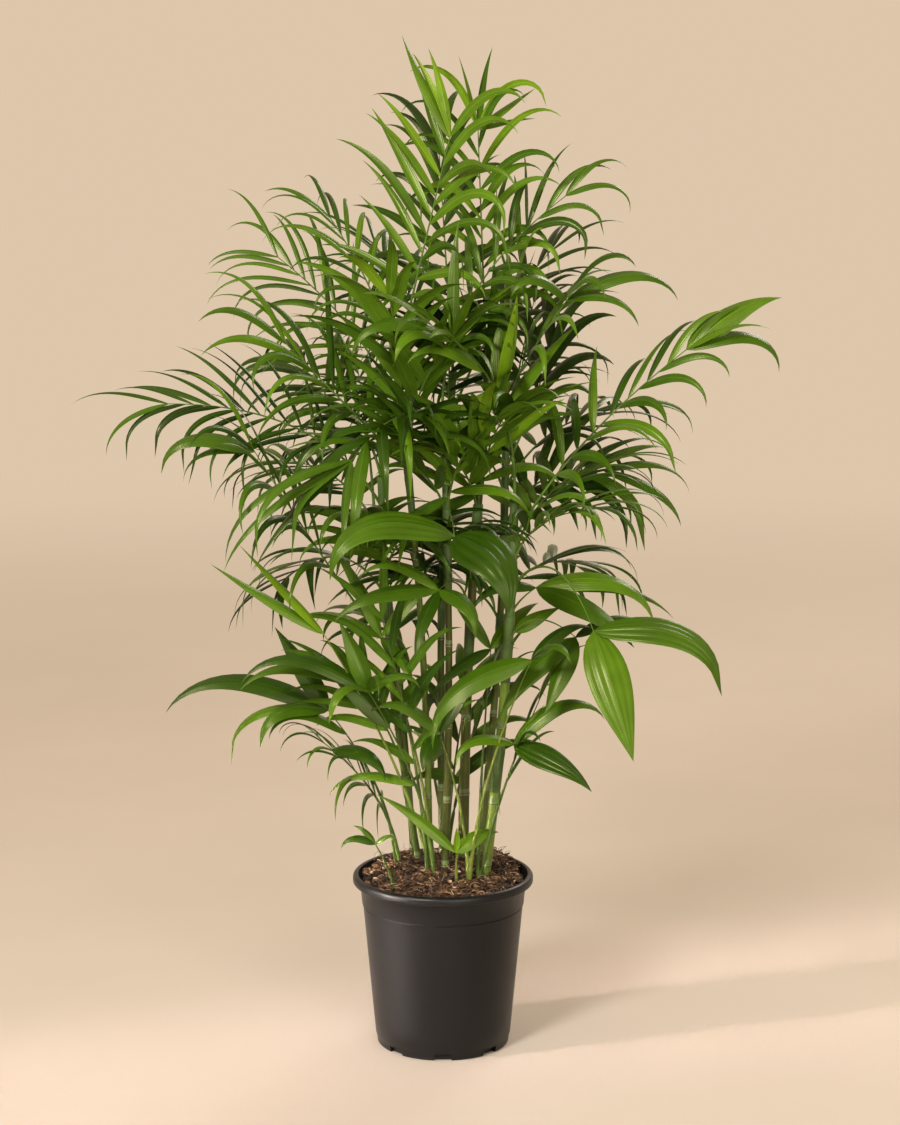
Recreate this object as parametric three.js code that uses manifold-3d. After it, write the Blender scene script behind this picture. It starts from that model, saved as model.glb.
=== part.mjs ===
// A bamboo palm in its nursery pot: canes that rise from one clump, arching fronds cut to the rib, soil and pot.
// Units are millimetres, +Z is up, and the origin is the centre of the pot's flat underside.
// The viewer is at -Y.
import * as THREE from "three";
import { mergeVertices } from "three/addons/utils/BufferGeometryUtils.js";
import Module from "manifold-3d";

const wasm = await Module();
wasm.setup();

// Pot
const POT_HEIGHT = 263;
const RIM_RADIUS = 136;
const MOUTH_RADIUS = 127.5;
const BODY_TOP_RADIUS = 124;
const BASE_RADIUS = 101;
const LIP_FOOT = POT_HEIGHT - 13;
const WALL_STEP_FOOT = POT_HEIGHT - 47;
const WALL_STEP = 1.2;
const BASE_RING_TOP = 14;
const BASE_RING_STEP = 1.2;
const EDGE_CUT = 1.5;
const LIP_ROUND = 3;
const WALL = 3;
const FLOOR = 6;
const POT_SIDES = 28;
const NOTCHES = 8;
const NOTCH = { deep: 18, wide: 26, high: 10 };

// Soil: its top is low at the wall, heaped behind the middle, and banked up at the back right
const SOIL_EDGE = 254;
const SOIL_HEAP = 18;
const SOIL_HEAP_Y = 25;
const SOIL_BUMP = 3;
const SOIL_BANK = { x: 62, y: 70, spread: 42, high: 12 };
const SOIL_RINGS = 3;
const SOIL_SHOULDER = LIP_FOOT - 4;

// Canes: foot x, foot y, top x, top y, top z, foot radius, top radius, sideways bow
const CANES = {
  right: [62, -10, 106, 0, 835, 8.4, 5.5, 8],
  tall: [30, 30, 66, 50, 985, 8.6, 5.2, -8],
  centre: [2, -16, 2, 0, 930, 6.0, 4.4, 7],
  left: [-34, 34, -92, 40, 860, 5.2, 4.2, -14],
  slim: [-20, 4, -68, -5, 1030, 5.4, 4.2, 12],
  back: [0, 62, 15, 110, 1010, 6.0, 4.6, -10],
  back_right: [52, 50, 95, 115, 900, 6.0, 4.6, 10],
  back_left: [-44, 64, -105, 125, 800, 5.2, 4.2, 8],
};
const CANE_FOOT = 238;
const CANE_FOOT_LEVEL = 252;
const CANE_SIDES = 7;
const CANE_STATIONS = 6;

// Ribs and leaflets. A leaflet is drawn at a share of its length from the rib, and is widest near its middle
const RIB_FOOT_RADIUS = 2.8;
const YOUNG_FOOT_RADIUS = 4.2;
const RIB_TIP_RADIUS = 1.9;
const RIB_STATIONS = 5;
const RIB_SIDES = 3;
const RIB_BEND_AT = 0.42;
const LEAF_THICKNESS = 0.011;
const THINNEST_LEAF = 1.2;
const LEAF_ROOT_RADIUS = 0.7;
const LEAF_STEPS = 20;
const SHORT_LEAF = 175;
const LONG_LEAF = 200;
const SHORT_LEAF_CUTS = [0, 0.45];
const LEAF_CUTS = [0, 0.3, 0.7];
const LONG_LEAF_CUTS = [0, 0.25, 0.55, 0.8];
const WIDTH_POWER = 0.66;
const WIDTH_FALL = 1;

// A leaflet hangs over by so many degrees at its tip, most of it near the tip, and less where it stands upright.
// It never turns past the steepest, and its flat eases towards level
const DROOP_TURN = 125;
const DROOP_POWER = 2.5;
const UPRIGHT_DROOP = 0.45;
const STEEPEST = 86;
const RELAX = 0.35;

// Fewer leaflets are drawn than the palm has, and they are wider to make up for it
const PAIRS_DRAWN = 0.48;
const WIDER = 1.7;
const FEWEST_THINNED = 3;

// The sheath that joins two fronds of one cane: how thick it is, and how far it goes above and below their height
const SHEATH = { thick: 2, above: 7, below: 19 };
const BESIDE_DROP = 12;

// How far one leaflet differs from the next: degrees of angle, lift and twist, and shares of its sizes
const VARY = { angle: 12, lift: 15, length: 0.15, width: 0.18, droop: 0.5, twist: 42 };

// Gap to a neighbour, and the largest change that thinning a solid's facets may make
const CLEARANCE = 0.35;
const SLIVER = 0.02;

// Kinds of frond: leaflet pairs, leaflet length and width, where along the rib they start,
// their angle to the rib at the start and at the tip, how far they droop, how much more they do so on one side,
// and how far they lift
const KINDS = {
  feather: { pairs: 12, blade: 160, width: 10.5, first: 0.3, splay: [66, 20], droop: 0.8, uneven: 0, lift: 8 },
  broad: { pairs: 8, blade: 175, width: 17, first: 0.34, splay: [62, 18], droop: 0.75, uneven: 0, lift: 12 },
  fan: { pairs: 0, blade: 180, width: 23, first: 0.5, splay: [54, 18], droop: 0.7, uneven: 0, lift: 8 },
};

// Fronds: the cane that each grows from, or its foot on the soil, then height, heading, reach, climb, bow, roll,
// kind, and what differs from the kind. Heading 0 points to +X and 90 away from the viewer.
// A single blade is its heading, pitch, length, width, droop, roll and,
// where it isn't at the tip, its place on the rib.
// A frond beside another, from the same place and in the same piece, is its heading, reach, climb, bow and roll,
// and where it isn't like the first, what differs.
const FRONDS = {
  slim_1: ["slim", 1030, -20, 84, 333, 0, -75, "broad",
    { pairs: 9, blade: 180, width: 17, droop: 0.7, uneven: 0.6, splay: [62, 30],
      blades: [[178, 62, 160, 18, 0.0, -60], [150, 80, 131, 14, 0.0, -60]] }],
  slim_2: ["slim", 978, 150, 120, 265, 22, 20, "feather", { pairs: 11, blade: 150, width: 10, droop: 0.9 }],
  slim_3: ["slim", 945, 162, 195, 240, 25, 55, "feather",
    { pairs: 14, blade: 160, width: 9, first: 0.15, droop: 0.7 }],
  slim_4: ["slim", 915, -100, 115, 225, 20, 0, "broad",
    { pairs: 6, blade: 185, width: 23, droop: 0.4, first: 0.25, splay: [48, 16],
      beside: [[-50, 110, 175, 20, 0, { pairs: 5, blades: [[-166, 24, 175, 28, 1.0, -50, 0.97],
        [-125, 30, 140, 28, 1.1, -40, 0.9],
        [95, 84, 170, 18, 0.05, 0]] }]],
      blades: [[-175, 0, 150, 22, 0.5, -40, 0.12], [0, 20, 140, 22, 0.8, 40, 0.16]] }],
  slim_5: ["slim", 880, -155, 190, 190, 0, 50, "broad",
    { pairs: 7, blade: 185, width: 17, droop: 0.8, beside: [[-84, 120, 112, 18, 20]] }],
  tall_1: ["tall", 985, -107, 52, 390, 0, 10, "broad",
    { pairs: 10, blade: 175, width: 13.5, droop: 1.5,
      blades: [[10, 35, 105, 15, 0.1, 40], [0, 15, 85, 13, 0.1, 40], [150, 75, 110, 12, 0.0, 0],
        [-60, 80, 120, 12, 0.0, 0]] }],
  tall_2: ["tall", 940, -30, 70, 285, 0, -40, "broad",
    { pairs: 5, blade: 155, width: 20, droop: 0.5,
      blades: [[-85, 78, 205, 20, 0.05, 180, 0.2], [5, 74, 190, 17, 0.1, 20, 0.3],
        [165, 76, 180, 17, 0.1, -20, 0.15]] }],
  tall_3: ["tall", 900, -41, 160, 232, 10, -30, "broad",
    { pairs: 5, blade: 155, width: 20, droop: 0.9,
      blades: [[-4, 28, 180, 26, 0.75, 50], [-40, 10, 140, 17, 0.7, 40],
        [-150, 40, 110, 28, 1.2, -50]] }],
  tall_4: ["tall", 650, -105, 185, 71, 30, 0, "fan",
    { blades: [[-168, 0, 165, 32, 0.45, -40], [-40, -12, 105, 28, 0.8, 30],
        [-115, -35, 120, 24, 0.4, 0], [170, 35, 135, 20, 0.8, -40]] }],
  tall_5: ["tall", 815, -72, 150, 165, 25, 0, "broad",
    { pairs: 6, blade: 185, width: 24, droop: 0.4, first: 0.25, splay: [48, 16],
      beside: [[-118, 130, 110, 25, 0]],
      blades: [[-165, -20, 160, 24, 0.3, -40, 0.1], [5, -25, 130, 22, 0.2, 40, 0.14],
        [-5, 25, 140, 20, 0.9, 45, 0.2]] }],
  right_1: ["right", 835, -124, 217, 270, 60, 25, "broad",
    { pairs: 3, blade: 165, width: 24, droop: 0.5, first: 0.7,
      blades: [[100, 80, 150, 30, 0.05, 0, 0.42], [-50, 72, 165, 28, 0.05, 180, 0.46],
        [22, 52, 170, 30, 0.1, 20, 0.38], [178, -38, 120, 28, 0.1, -75, 0.5],
        [-165, 35, 130, 24, 0.8, -55, 0.62]] }],
  right_2: ["right", 770, -9, 255, 290, 20, -45, "broad",
    { pairs: 8, blade: 155, width: 18, droop: 0.7,
      blades: [[4, 38, 160, 38, 0.35, 65], [-5, 20, 165, 26, 0.9, 50]] }],
  right_3: ["right", 700, -52, 188, -38, 60, 0, "fan",
    { blades: [[-14, 6, 240, 50, 1.0, 45], [-62, -55, 200, 62, 0.15, 25]] }],
  right_4: ["right", 655, -30, 45, 50, 5, 0, "fan",
    { blades: [[-10, 12, 205, 36, 0.7, 45], [8, 2, 220, 25, 0.35, 40], [-40, -12, 195, 38, 0.2, 40],
        [-150, 10, 120, 24, 0.7, -40]] }],
  right_5: ["right", 620, -30, 114, 16, 30, 0, "fan",
    { blades: [[-130, -58, 125, 34, 0.1, -20], [-165, -35, 175, 36, 0.3, -40],
        [20, 25, 110, 20, 0.5, 40], [10, 30, 80, 24, 0.2, 60, 0.12]] }],
  right_6: ["right", 455, -71, 62, 22, 12, 0, "fan",
    { blades: [[5, 46, 165, 28, 1.0, 50], [-35, -12, 145, 42, 0.35, 40],
        [-160, 18, 115, 22, 0.9, -40], [20, 55, 75, 10, 0.1, 20]] }],
  right_7: ["right", 738, 42, 170, 130, 30, 0, "broad", { beside: [[-35, 120, 100, 25, 0]] }],
  centre_1: ["centre", 930, -6, 178, 348, 55, -55, "broad",
    { pairs: 9, blade: 140, width: 15, droop: 1.0, splay: [60, 16] }],
  centre_2: ["centre", 880, -132, 199, 29, 70, 10, "broad",
    { pairs: 6, blade: 195, width: 23, droop: 0.9, splay: [64, 20],
      blades: [[-170, -16, 250, 17, 0.6, -40], [-160, -26, 250, 16, 0.45, -40],
        [-172, -40, 215, 15, 0.2, -40], [-150, -8, 230, 15, 0.8, -45]] }],
  centre_3: ["centre", 760, -87, 186, 48, 40, 0, "fan",
    { blades: [[-155, 18, 232, 54, 0.95, -45], [-48, -12, 165, 76, 0.75, 30]] }],
  centre_4: ["centre", 815, -55, 130, 150, 25, 0, "broad",
    { pairs: 6, blade: 180, width: 24, droop: 0.4, first: 0.25, splay: [48, 16],
      beside: [[-150, 120, 110, 25, 0]],
      blades: [[-170, -28, 150, 24, 0.2, -35, 0.12], [-10, 8, 140, 22, 0.7, 40, 0.16],
        [172, 30, 130, 20, 0.8, -40, 0.22]] }],
  left_1: ["left", 860, 145, 170, 160, 30, 30, "feather", { pairs: 9, blade: 150, width: 15 }],
  left_2: ["left", 815, -163, 322, 165, 50, 55, "feather",
    { pairs: 12, blade: 155, width: 9.5, droop: 0.65, uneven: -0.4, splay: [54, 16] }],
  left_3: ["left", 600, -147, 228, 318, -5, 45, "broad",
    { pairs: 6, blade: 190, width: 16, droop: 0.95, first: 0.42, splay: [50, 16],
      blades: [[-170, 20, 165, 28, 1.0, -50], [170, 5, 130, 17, 0.7, -40]] }],
  left_4: ["left", 400, -140, 90, 160, 10, -40, "fan",
    { pairs: 5, blade: 160, width: 20, droop: 0.4, blades: [[-176, 20, 190, 24, 0.5, -50]] }],
  left_5: ["left", 715, -105, 150, 110, 25, 0, "broad",
    { pairs: 7, blade: 170, width: 20, droop: 0.65, first: 0.25, beside: [[-62, 120, 80, 25, 0]],
      blades: [[-8, -20, 150, 22, 0.3, 40, 0.12], [175, 25, 150, 20, 0.9, -40, 0.18]] }],
  back_1: ["back", 1010, 100, 120, 320, 0, 0, "broad", { blade: 165 }],
  back_2: ["back", 960, 128, 190, 230, 20, 0, "feather", { blade: 155 }],
  back_3: ["back", 930, 40, 200, 250, 20, 0, "broad", { blade: 165, beside: [[-90, 110, 160, 20, 0]] }],
  back_4: ["back", 880, 85, 260, 90, 40, 0, "feather", {}],
  back_5: ["back", 700, 105, 220, 30, 50, 0, "broad", { beside: [[-80, 120, 100, 25, 0]] }],
  back_right_1: ["back_right", 900, 75, 180, 200, 8, 0, "feather", {}],
  back_right_2: ["back_right", 860, 31, 80, 175, -4, 0, "broad",
    { pairs: 5, blade: 175, width: 28, droop: 0.9 }],
  back_right_3: ["back_right", 830, 35, 210, 110, 30, 0, "broad", { beside: [[-150, 110, 120, 20, 0]] }],
  back_right_4: ["back_right", 760, 6, 153, 98, 40, -40, "broad",
    { pairs: 7, blade: 175, width: 22, droop: 0.8 }],
  back_right_5: ["back_right", 640, 50, 190, 50, 40, 0, "broad", { beside: [[-165, 130, 80, 25, 0]] }],
  back_left_1: ["back_left", 800, 100, 190, 210, 20, 0, "feather", {}],
  back_left_2: ["back_left", 765, 138, 200, 90, 30, 20, "feather", {}],
  back_left_3: ["back_left", 660, 140, 210, 10, 50, 0, "broad", { beside: [[-45, 130, 80, 25, 0]] }],
  back_left_4: ["back_left", 540, 98, 190, 60, 30, 0, "fan", { pairs: 5 }],
  young_1: [[-22, -25], 240, -142, 85, 430, 15, -45, "fan",
    { pairs: 5, blade: 150, width: 19, droop: 0.5, blades: [[178, 15, 150, 18, 0.7, -45, 0.42]] }],
  young_2: [[-13, -8], 240, -153, 182, 412, 20, 0, "fan",
    { beside: [[178, 80, 390, 15, 0, { blades: [[-160, 30, 150, 24, 0.5, -45], [160, 65, 160, 24, 0.1, -40],
        [10, 52, 150, 24, 0.3, 40], [-60, -20, 110, 20, 0.4, 20]] }]],
      blades: [[-175, 32, 195, 19, 0.0, -55], [-165, 48, 185, 18, 0.0, -55]] }],
  young_3: [[-13, -34], 240, -154, 108, 322, 25, 0, "fan",
    { blades: [[165, 70, 115, 30, 0.0, -60], [178, 32, 215, 25, 0.75, -50],
        [172, 48, 165, 34, 0.1, -60, 0.82], [-120, 25, 130, 26, 1.3, 0],
        [-75, 45, 110, 14, 1.2, 0], [-20, 40, 95, 20, 0.9, 40]] }],
  young_4: [[-72, 48], 240, -172, 104, 268, 25, 30, "fan",
    { blades: [[180, 24, 268, 36, 0.6, -50], [168, 58, 150, 34, 0.0, -60],
        [178, 4, 205, 21, 1.0, -40], [-150, 12, 145, 28, 1.0, -40],
        [-160, 35, 150, 20, 0.9, -45, 0.85]] }],
  young_5: [[-66, 30], 240, -160, 118, 225, 30, 20, "feather",
    { pairs: 8, blade: 120, width: 9, first: 0.5, droop: 0.9,
      blades: [[-35, 5, 115, 32, 0.7, 30, 0.95]] }],
  young_6: [[38, -40], 240, -40, 120, 379, 20, 0, "fan",
    { beside: [[-150, 50, 255, 12, 0, { blades: [[-175, 45, 120, 24, 0.8, -50], [15, 60, 130, 22, 0.4, 40],
        [-120, -20, 75, 26, 0.5, -20]] }]],
      blades: [[-172, -16, 212, 38, 0.65, -50], [-60, 35, 120, 24, 0.8, 20], [25, 40, 120, 22, 0.7, 40]] }],
  young_7: [[52, -32], 240, -12, 92, 300, 10, 0, "fan",
    { pairs: 3, blade: 140, width: 22,
      beside: [[62, 42, 370, 8, 0, { pairs: 0, blades: [[165, 55, 140, 26, 0.3, -30], [40, 40, 120, 24, 0.4, 40],
        [-160, -25, 120, 22, 0.3, -40]] }]] }],
  young_8: [[20, -44], 240, -90, 12, 70, 0, 0, "fan",
    { blades: [[176, 42, 150, 19, 0.1, -60], [28, 32, 78, 24, 0.4, 60], [-80, 74, 50, 10, 0.4, 0]] }],
  young_9: [[-70, -62], 240, -150, 35, 90, 5, 0, "fan",
    { blades: [[-170, 25, 60, 14, 0.9, -50], [160, 50, 45, 10, 0.5, -50], [-20, 40, 40, 10, 0.7, 50]] }],
  young_10: [[5, 88], 240, 75, 130, 260, 25, 0, "fan",
    { pairs: 4, blade: 160, width: 24,
      beside: [[-165, 70, 330, 12, 0], [-24, 75, 300, 12, 0]] }],
};

// Small swings that a leaflet tries before it is left out: turn about its face, then lift
const SWINGS = [[0, 0], [7, 0], [-7, 0], [0, 10], [0, -10], [13, 8], [-13, 8], [16, -10], [-16, -10], [0, 20]];

const UP = new THREE.Vector3(0, 0, 1);

const POT_FINISH = new THREE.MeshStandardMaterial({ color: 0x232324, roughness: 0.45, metalness: 0 });
const SOIL_FINISH = new THREE.MeshStandardMaterial({ color: 0x5a3a22, roughness: 0.95, metalness: 0 });
const CANE_FINISH = new THREE.MeshStandardMaterial({ color: 0x6d7c33, roughness: 0.5, metalness: 0 });
const LEAF_FINISH = new THREE.MeshStandardMaterial({
  color: 0x2f6b1d,
  roughness: 0.45,
  metalness: 0,
  flatShading: true,
});

// A number from 0 to 1 that is always the same for the same key
function noise(key) {
  const wave = Math.sin(key * 12.9898 + 78.233) * 43758.5453;
  return wave - Math.floor(wave);
}

// How far a leaflet differs in one of its measures, up to size either way
function spread(frond, leaf, channel, size) {
  return (2 * noise(frond * 61 + leaf * 7 + channel * 0.37) - 1) * size;
}

function radians(degrees) {
  return (degrees * Math.PI) / 180;
}

function compass(degrees) {
  return new THREE.Vector3(Math.cos(radians(degrees)), Math.sin(radians(degrees)), 0);
}

function crossed(a, b) {
  return new THREE.Vector3().crossVectors(a, b);
}

function turned(vector, axis, degrees) {
  return vector.clone().applyAxisAngle(axis, radians(degrees));
}

// The direction part-way from one direction to another that stands square to it
function between(a, b, degrees) {
  return a.clone().multiplyScalar(Math.cos(radians(degrees))).addScaledVector(b, Math.sin(radians(degrees)));
}

// Closed three.js geometry to a solid, and back
function solidOf(geometry) {
  const bare = new THREE.BufferGeometry();
  bare.setAttribute("position", geometry.getAttribute("position"));
  if (geometry.index) bare.setIndex(geometry.index);
  const merged = mergeVertices(bare, 1e-4);
  return new wasm.Manifold(
    new wasm.Mesh({
      numProp: 3,
      vertProperties: merged.attributes.position.array,
      triVerts: new Uint32Array(merged.index.array),
    }),
  );
}

function geometryOf(solid) {
  const mesh = solid.getMesh();
  const geometry = new THREE.BufferGeometry();
  geometry.setAttribute("position", new THREE.BufferAttribute(new Float32Array(mesh.vertProperties), 3));
  geometry.setIndex(new THREE.BufferAttribute(new Uint32Array(mesh.triVerts), 1));
  geometry.computeVertexNormals();
  return geometry;
}

// Whether a four-sided face bulges when it is folded from its first corner to its third
function foldsOut(a, b, c, d) {
  const facing = crossed(b.clone().sub(a), c.clone().sub(a));
  return facing.dot(d.clone().sub(a)) <= 0;
}

// Rings of points, joined in order and closed by flat ends, or by a point where a ring has one point.
// Each face between two rings folds outwards, so that a thin twisted skin doesn't cut itself
function skinOf(rings) {
  const points = [];
  const faces = [];
  const starts = [];
  for (const ring of rings) {
    starts.push(points.length / 3);
    for (const p of ring) points.push(p.x, p.y, p.z);
  }
  for (let i = 0; i + 1 < rings.length; i++) {
    const here = rings[i].length;
    const next = rings[i + 1].length;
    for (let j = 0; j < here; j++) {
      const k = (j + 1) % here;
      const [a, b, c, d] = [starts[i] + j, starts[i] + k, starts[i + 1] + k, starts[i + 1] + j];
      const bulges = next > 1 && foldsOut(rings[i][j], rings[i][k], rings[i + 1][k], rings[i + 1][j]);
      if (next === 1) faces.push(a, b, starts[i + 1]);
      else if (bulges) faces.push(a, b, c, a, c, d);
      else faces.push(a, b, d, b, c, d);
    }
  }
  for (let j = 1; j + 1 < rings[0].length; j++) faces.push(starts[0], starts[0] + j + 1, starts[0] + j);
  const last = rings.length - 1;
  for (let j = 1; j + 1 < rings[last].length; j++) {
    faces.push(starts[last], starts[last] + j, starts[last] + j + 1);
  }
  const geometry = new THREE.BufferGeometry();
  geometry.setAttribute("position", new THREE.BufferAttribute(new Float32Array(points), 3));
  geometry.setIndex(faces);
  return solidOf(geometry);
}

// A level ring round an upright axis, at heights that may differ from point to point
function levelRing(sides, radius, placeAt) {
  const ring = [];
  for (let j = 0; j < sides; j++) ring.push(placeAt(compass((360 * j) / sides).multiplyScalar(radius)));
  return ring;
}

// A thin tube through points, with a radius at each
function tube(points, radii, sides) {
  const rings = points.map((point, i) => {
    const before = points[Math.max(0, i - 1)];
    const after = points[Math.min(points.length - 1, i + 1)];
    const along = after.clone().sub(before).normalize();
    const side = crossed(along, Math.abs(along.z) > 0.9 ? new THREE.Vector3(0, 1, 0) : UP).normalize();
    const ring = [];
    for (let j = 0; j < sides; j++) {
      const spoke = turned(side, along, (360 * j) / sides);
      ring.push(point.clone().addScaledVector(spoke, radii[i]));
    }
    return ring;
  });
  return skinOf(rings);
}

function largestBody(solid) {
  const bodies = solid.decompose();
  return bodies.reduce((best, body) => (body.volume() > best.volume() ? body : best));
}

// Radius of the pot's wall at a height, below the step under its lip
function wallRadius(z) {
  return BASE_RADIUS + ((BODY_TOP_RADIUS - BASE_RADIUS) * z) / LIP_FOOT;
}

// The pot's turned section, from its underside up the outside and down the inside
function potProfile() {
  return [
    [0, 0],
    [BASE_RADIUS - 2 * EDGE_CUT, 0],
    [BASE_RADIUS - EDGE_CUT, EDGE_CUT],
    [wallRadius(BASE_RING_TOP) - BASE_RING_STEP, BASE_RING_TOP],
    [wallRadius(BASE_RING_TOP + 1), BASE_RING_TOP + 1],
    [wallRadius(WALL_STEP_FOOT), WALL_STEP_FOOT],
    [wallRadius(WALL_STEP_FOOT) + WALL_STEP, WALL_STEP_FOOT + 1],
    [wallRadius(LIP_FOOT) + WALL_STEP, LIP_FOOT],
    [RIM_RADIUS - EDGE_CUT, LIP_FOOT],
    [RIM_RADIUS, LIP_FOOT + LIP_ROUND],
    [RIM_RADIUS, POT_HEIGHT - LIP_ROUND],
    [RIM_RADIUS - EDGE_CUT, POT_HEIGHT - EDGE_CUT / 2],
    [RIM_RADIUS - 2 * EDGE_CUT - 1, POT_HEIGHT],
    [MOUTH_RADIUS, POT_HEIGHT - 1],
    [MOUTH_RADIUS - EDGE_CUT, LIP_FOOT + 2 * LIP_ROUND],
    [wallRadius(LIP_FOOT) - WALL, SOIL_SHOULDER],
    [wallRadius(FLOOR) - WALL, FLOOR],
    [0, FLOOR],
  ].map(([radius, z]) => new THREE.Vector2(radius, z));
}

function potSolid() {
  let pot = solidOf(new THREE.LatheGeometry(potProfile(), POT_SIDES).rotateX(Math.PI / 2));
  for (let i = 0; i < NOTCHES; i++) {
    const cut = new THREE.BoxGeometry(NOTCH.deep, NOTCH.wide, 2 * NOTCH.high);
    cut.translate(BASE_RADIUS, 0, 0).rotateZ(radians(-90 + (360 * i) / NOTCHES));
    pot = pot.subtract(solidOf(cut));
  }
  return pot;
}

function soilTop(x, y) {
  const reach = Math.hypot(x, y - SOIL_HEAP_Y) / BODY_TOP_RADIUS;
  const off = Math.hypot(x - SOIL_BANK.x, y - SOIL_BANK.y) / SOIL_BANK.spread;
  const heap = SOIL_HEAP * Math.max(0, 1 - reach * reach) + SOIL_BANK.high * Math.exp(-off * off);
  const bumps = Math.sin(x * 0.11 + 1.3) * Math.cos(y * 0.13) + Math.sin(x * 0.05 - y * 0.07);
  return SOIL_EDGE + heap + SOIL_BUMP * bumps;
}

// The soil fills the pot to just under its rim and is heaped round the canes
function soilSolid() {
  const inside = (z) => wallRadius(z) - WALL - CLEARANCE - 0.1;
  const flatRing = (radius, z) => levelRing(POT_SIDES, radius, (p) => p.setZ(z));
  const topRing = (radius) => levelRing(POT_SIDES, radius, (p) => p.setZ(soilTop(p.x, p.y)));
  const topRadius = inside(SOIL_SHOULDER) + 1;
  const rings = [flatRing(inside(FLOOR), FLOOR + CLEARANCE), flatRing(inside(SOIL_SHOULDER), SOIL_SHOULDER)];
  for (let i = 0; i < SOIL_RINGS; i++) rings.push(topRing(topRadius * (1 - i / SOIL_RINGS)));
  rings.push([new THREE.Vector3(0, 0, soilTop(0, 0))]);
  return skinOf(rings);
}

// The middle of a cane at a height: it leans evenly from its foot to its top, and bows sideways between them
function canePoint(name, height) {
  const [footX, footY, topX, topY, topZ, , , bow] = CANES[name];
  const t = (height - CANE_FOOT_LEVEL) / (topZ - CANE_FOOT_LEVEL);
  const x = footX + (topX - footX) * t + bow * Math.sin(Math.PI * Math.max(0, t));
  return new THREE.Vector3(x, footY + (topY - footY) * t, height);
}

// A cane's radius at a height, with its corners pushed out so that its flats stand out by extra
function caneRadius(name, height, extra) {
  const [, , , , topZ, footRadius, topRadius] = CANES[name];
  const t = (height - CANE_FOOT) / (topZ - CANE_FOOT);
  return footRadius + (topRadius - footRadius) * t + extra / Math.cos(Math.PI / CANE_SIDES);
}

// A cane from its flat cut in the soil to its top, fattened by extra on every side
function caneSolid(name, extra) {
  const topZ = CANES[name][4];
  const rings = [];
  for (let i = 0; i < CANE_STATIONS; i++) {
    const height = CANE_FOOT + ((topZ - CANE_FOOT) * i) / (CANE_STATIONS - 1);
    const middle = canePoint(name, height);
    if (i === 0) middle.z -= extra;
    if (i === CANE_STATIONS - 1) middle.z += extra;
    rings.push(levelRing(CANE_SIDES, caneRadius(name, height, extra), (p) => p.add(middle)));
  }
  return skinOf(rings);
}

// A short sleeve round a cane, which joins the ribs of two fronds at a height. It is solid until the cane is cut out
function sheathSolid(name, height) {
  const ends = [height - SHEATH.below, height + SHEATH.above];
  return skinOf(
    ends.map((z) => levelRing(CANE_SIDES, caneRadius(name, z, SHEATH.thick), (p) => p.add(canePoint(name, z)))),
  );
}

// A rib is one bow from its foot to its tip
function ribAlong(start, footRadius, plan, heading, reach, climb, bow, roll) {
  const onward = compass(heading);
  const chord = onward.clone().multiplyScalar(reach).addScaledVector(UP, climb);
  const along = chord.clone().normalize();
  const raised = UP.clone().multiplyScalar(along.dot(onward)).addScaledVector(onward, -along.z);
  const bend = start.clone().addScaledVector(chord, RIB_BEND_AT).addScaledVector(raised, 2 * bow);
  const curve = new THREE.QuadraticBezierCurve3(start, bend, start.clone().add(chord));
  const level = crossed(onward, UP);
  const frameAt = (s) => {
    const t = curve.getTangent(s);
    const up = crossed(level, t);
    return { t, side: between(level, up, roll), face: between(up, level, -roll) };
  };
  return { plan, curve, frameAt, footRadius };
}

// The rib of a frond, and of each frond that grows beside it
function ribsOf(row) {
  const [foot, height, heading, reach, climb, bow, roll, kind, changes] = row;
  const plan = { ...KINDS[kind], ...changes };
  const young = Array.isArray(foot);
  const radius = young ? YOUNG_FOOT_RADIUS : RIB_FOOT_RADIUS;
  const start = young ? new THREE.Vector3(foot[0], foot[1], height) : canePoint(foot, height);
  const lower = young ? start : canePoint(foot, height - BESIDE_DROP);
  const ribs = [ribAlong(start, radius, plan, heading, reach, climb, bow, roll)];
  for (const [onward, far, high, bent, rolled, own] of plan.beside || []) {
    ribs.push(ribAlong(lower, radius, { ...plan, blades: [], ...own }, onward, far, high, bent, rolled));
  }
  return ribs;
}

function ribSolid(rib, extra) {
  const points = [];
  const radii = [];
  for (let i = 0; i <= RIB_STATIONS; i++) {
    const s = i / RIB_STATIONS;
    points.push(rib.curve.getPoint(s));
    radii.push(rib.footRadius + (RIB_TIP_RADIUS - rib.footRadius) * s + extra);
  }
  return tube(points, radii, RIB_SIDES);
}

// The middle of the rib's solid, which runs straight from station to station
function ribMiddle(rib, s) {
  const station = Math.min(RIB_STATIONS - 1, Math.floor(s * RIB_STATIONS));
  const before = rib.curve.getPoint(station / RIB_STATIONS);
  const after = rib.curve.getPoint((station + 1) / RIB_STATIONS);
  return before.lerp(after, s * RIB_STATIONS - station);
}

// Single blades are set one by one, most of them at the rib's tip
function singleBlades(rib) {
  return (rib.plan.blades || []).map(([heading, pitch, length, width, droop, roll, s = 0.99]) => {
    const onward = compass(heading);
    const out = between(onward, UP, pitch);
    const flat = turned(crossed(onward, UP), out, roll);
    return { base: ribMiddle(rib, s), out, flat, length, width, droop, twist: 0 };
  });
}

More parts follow.
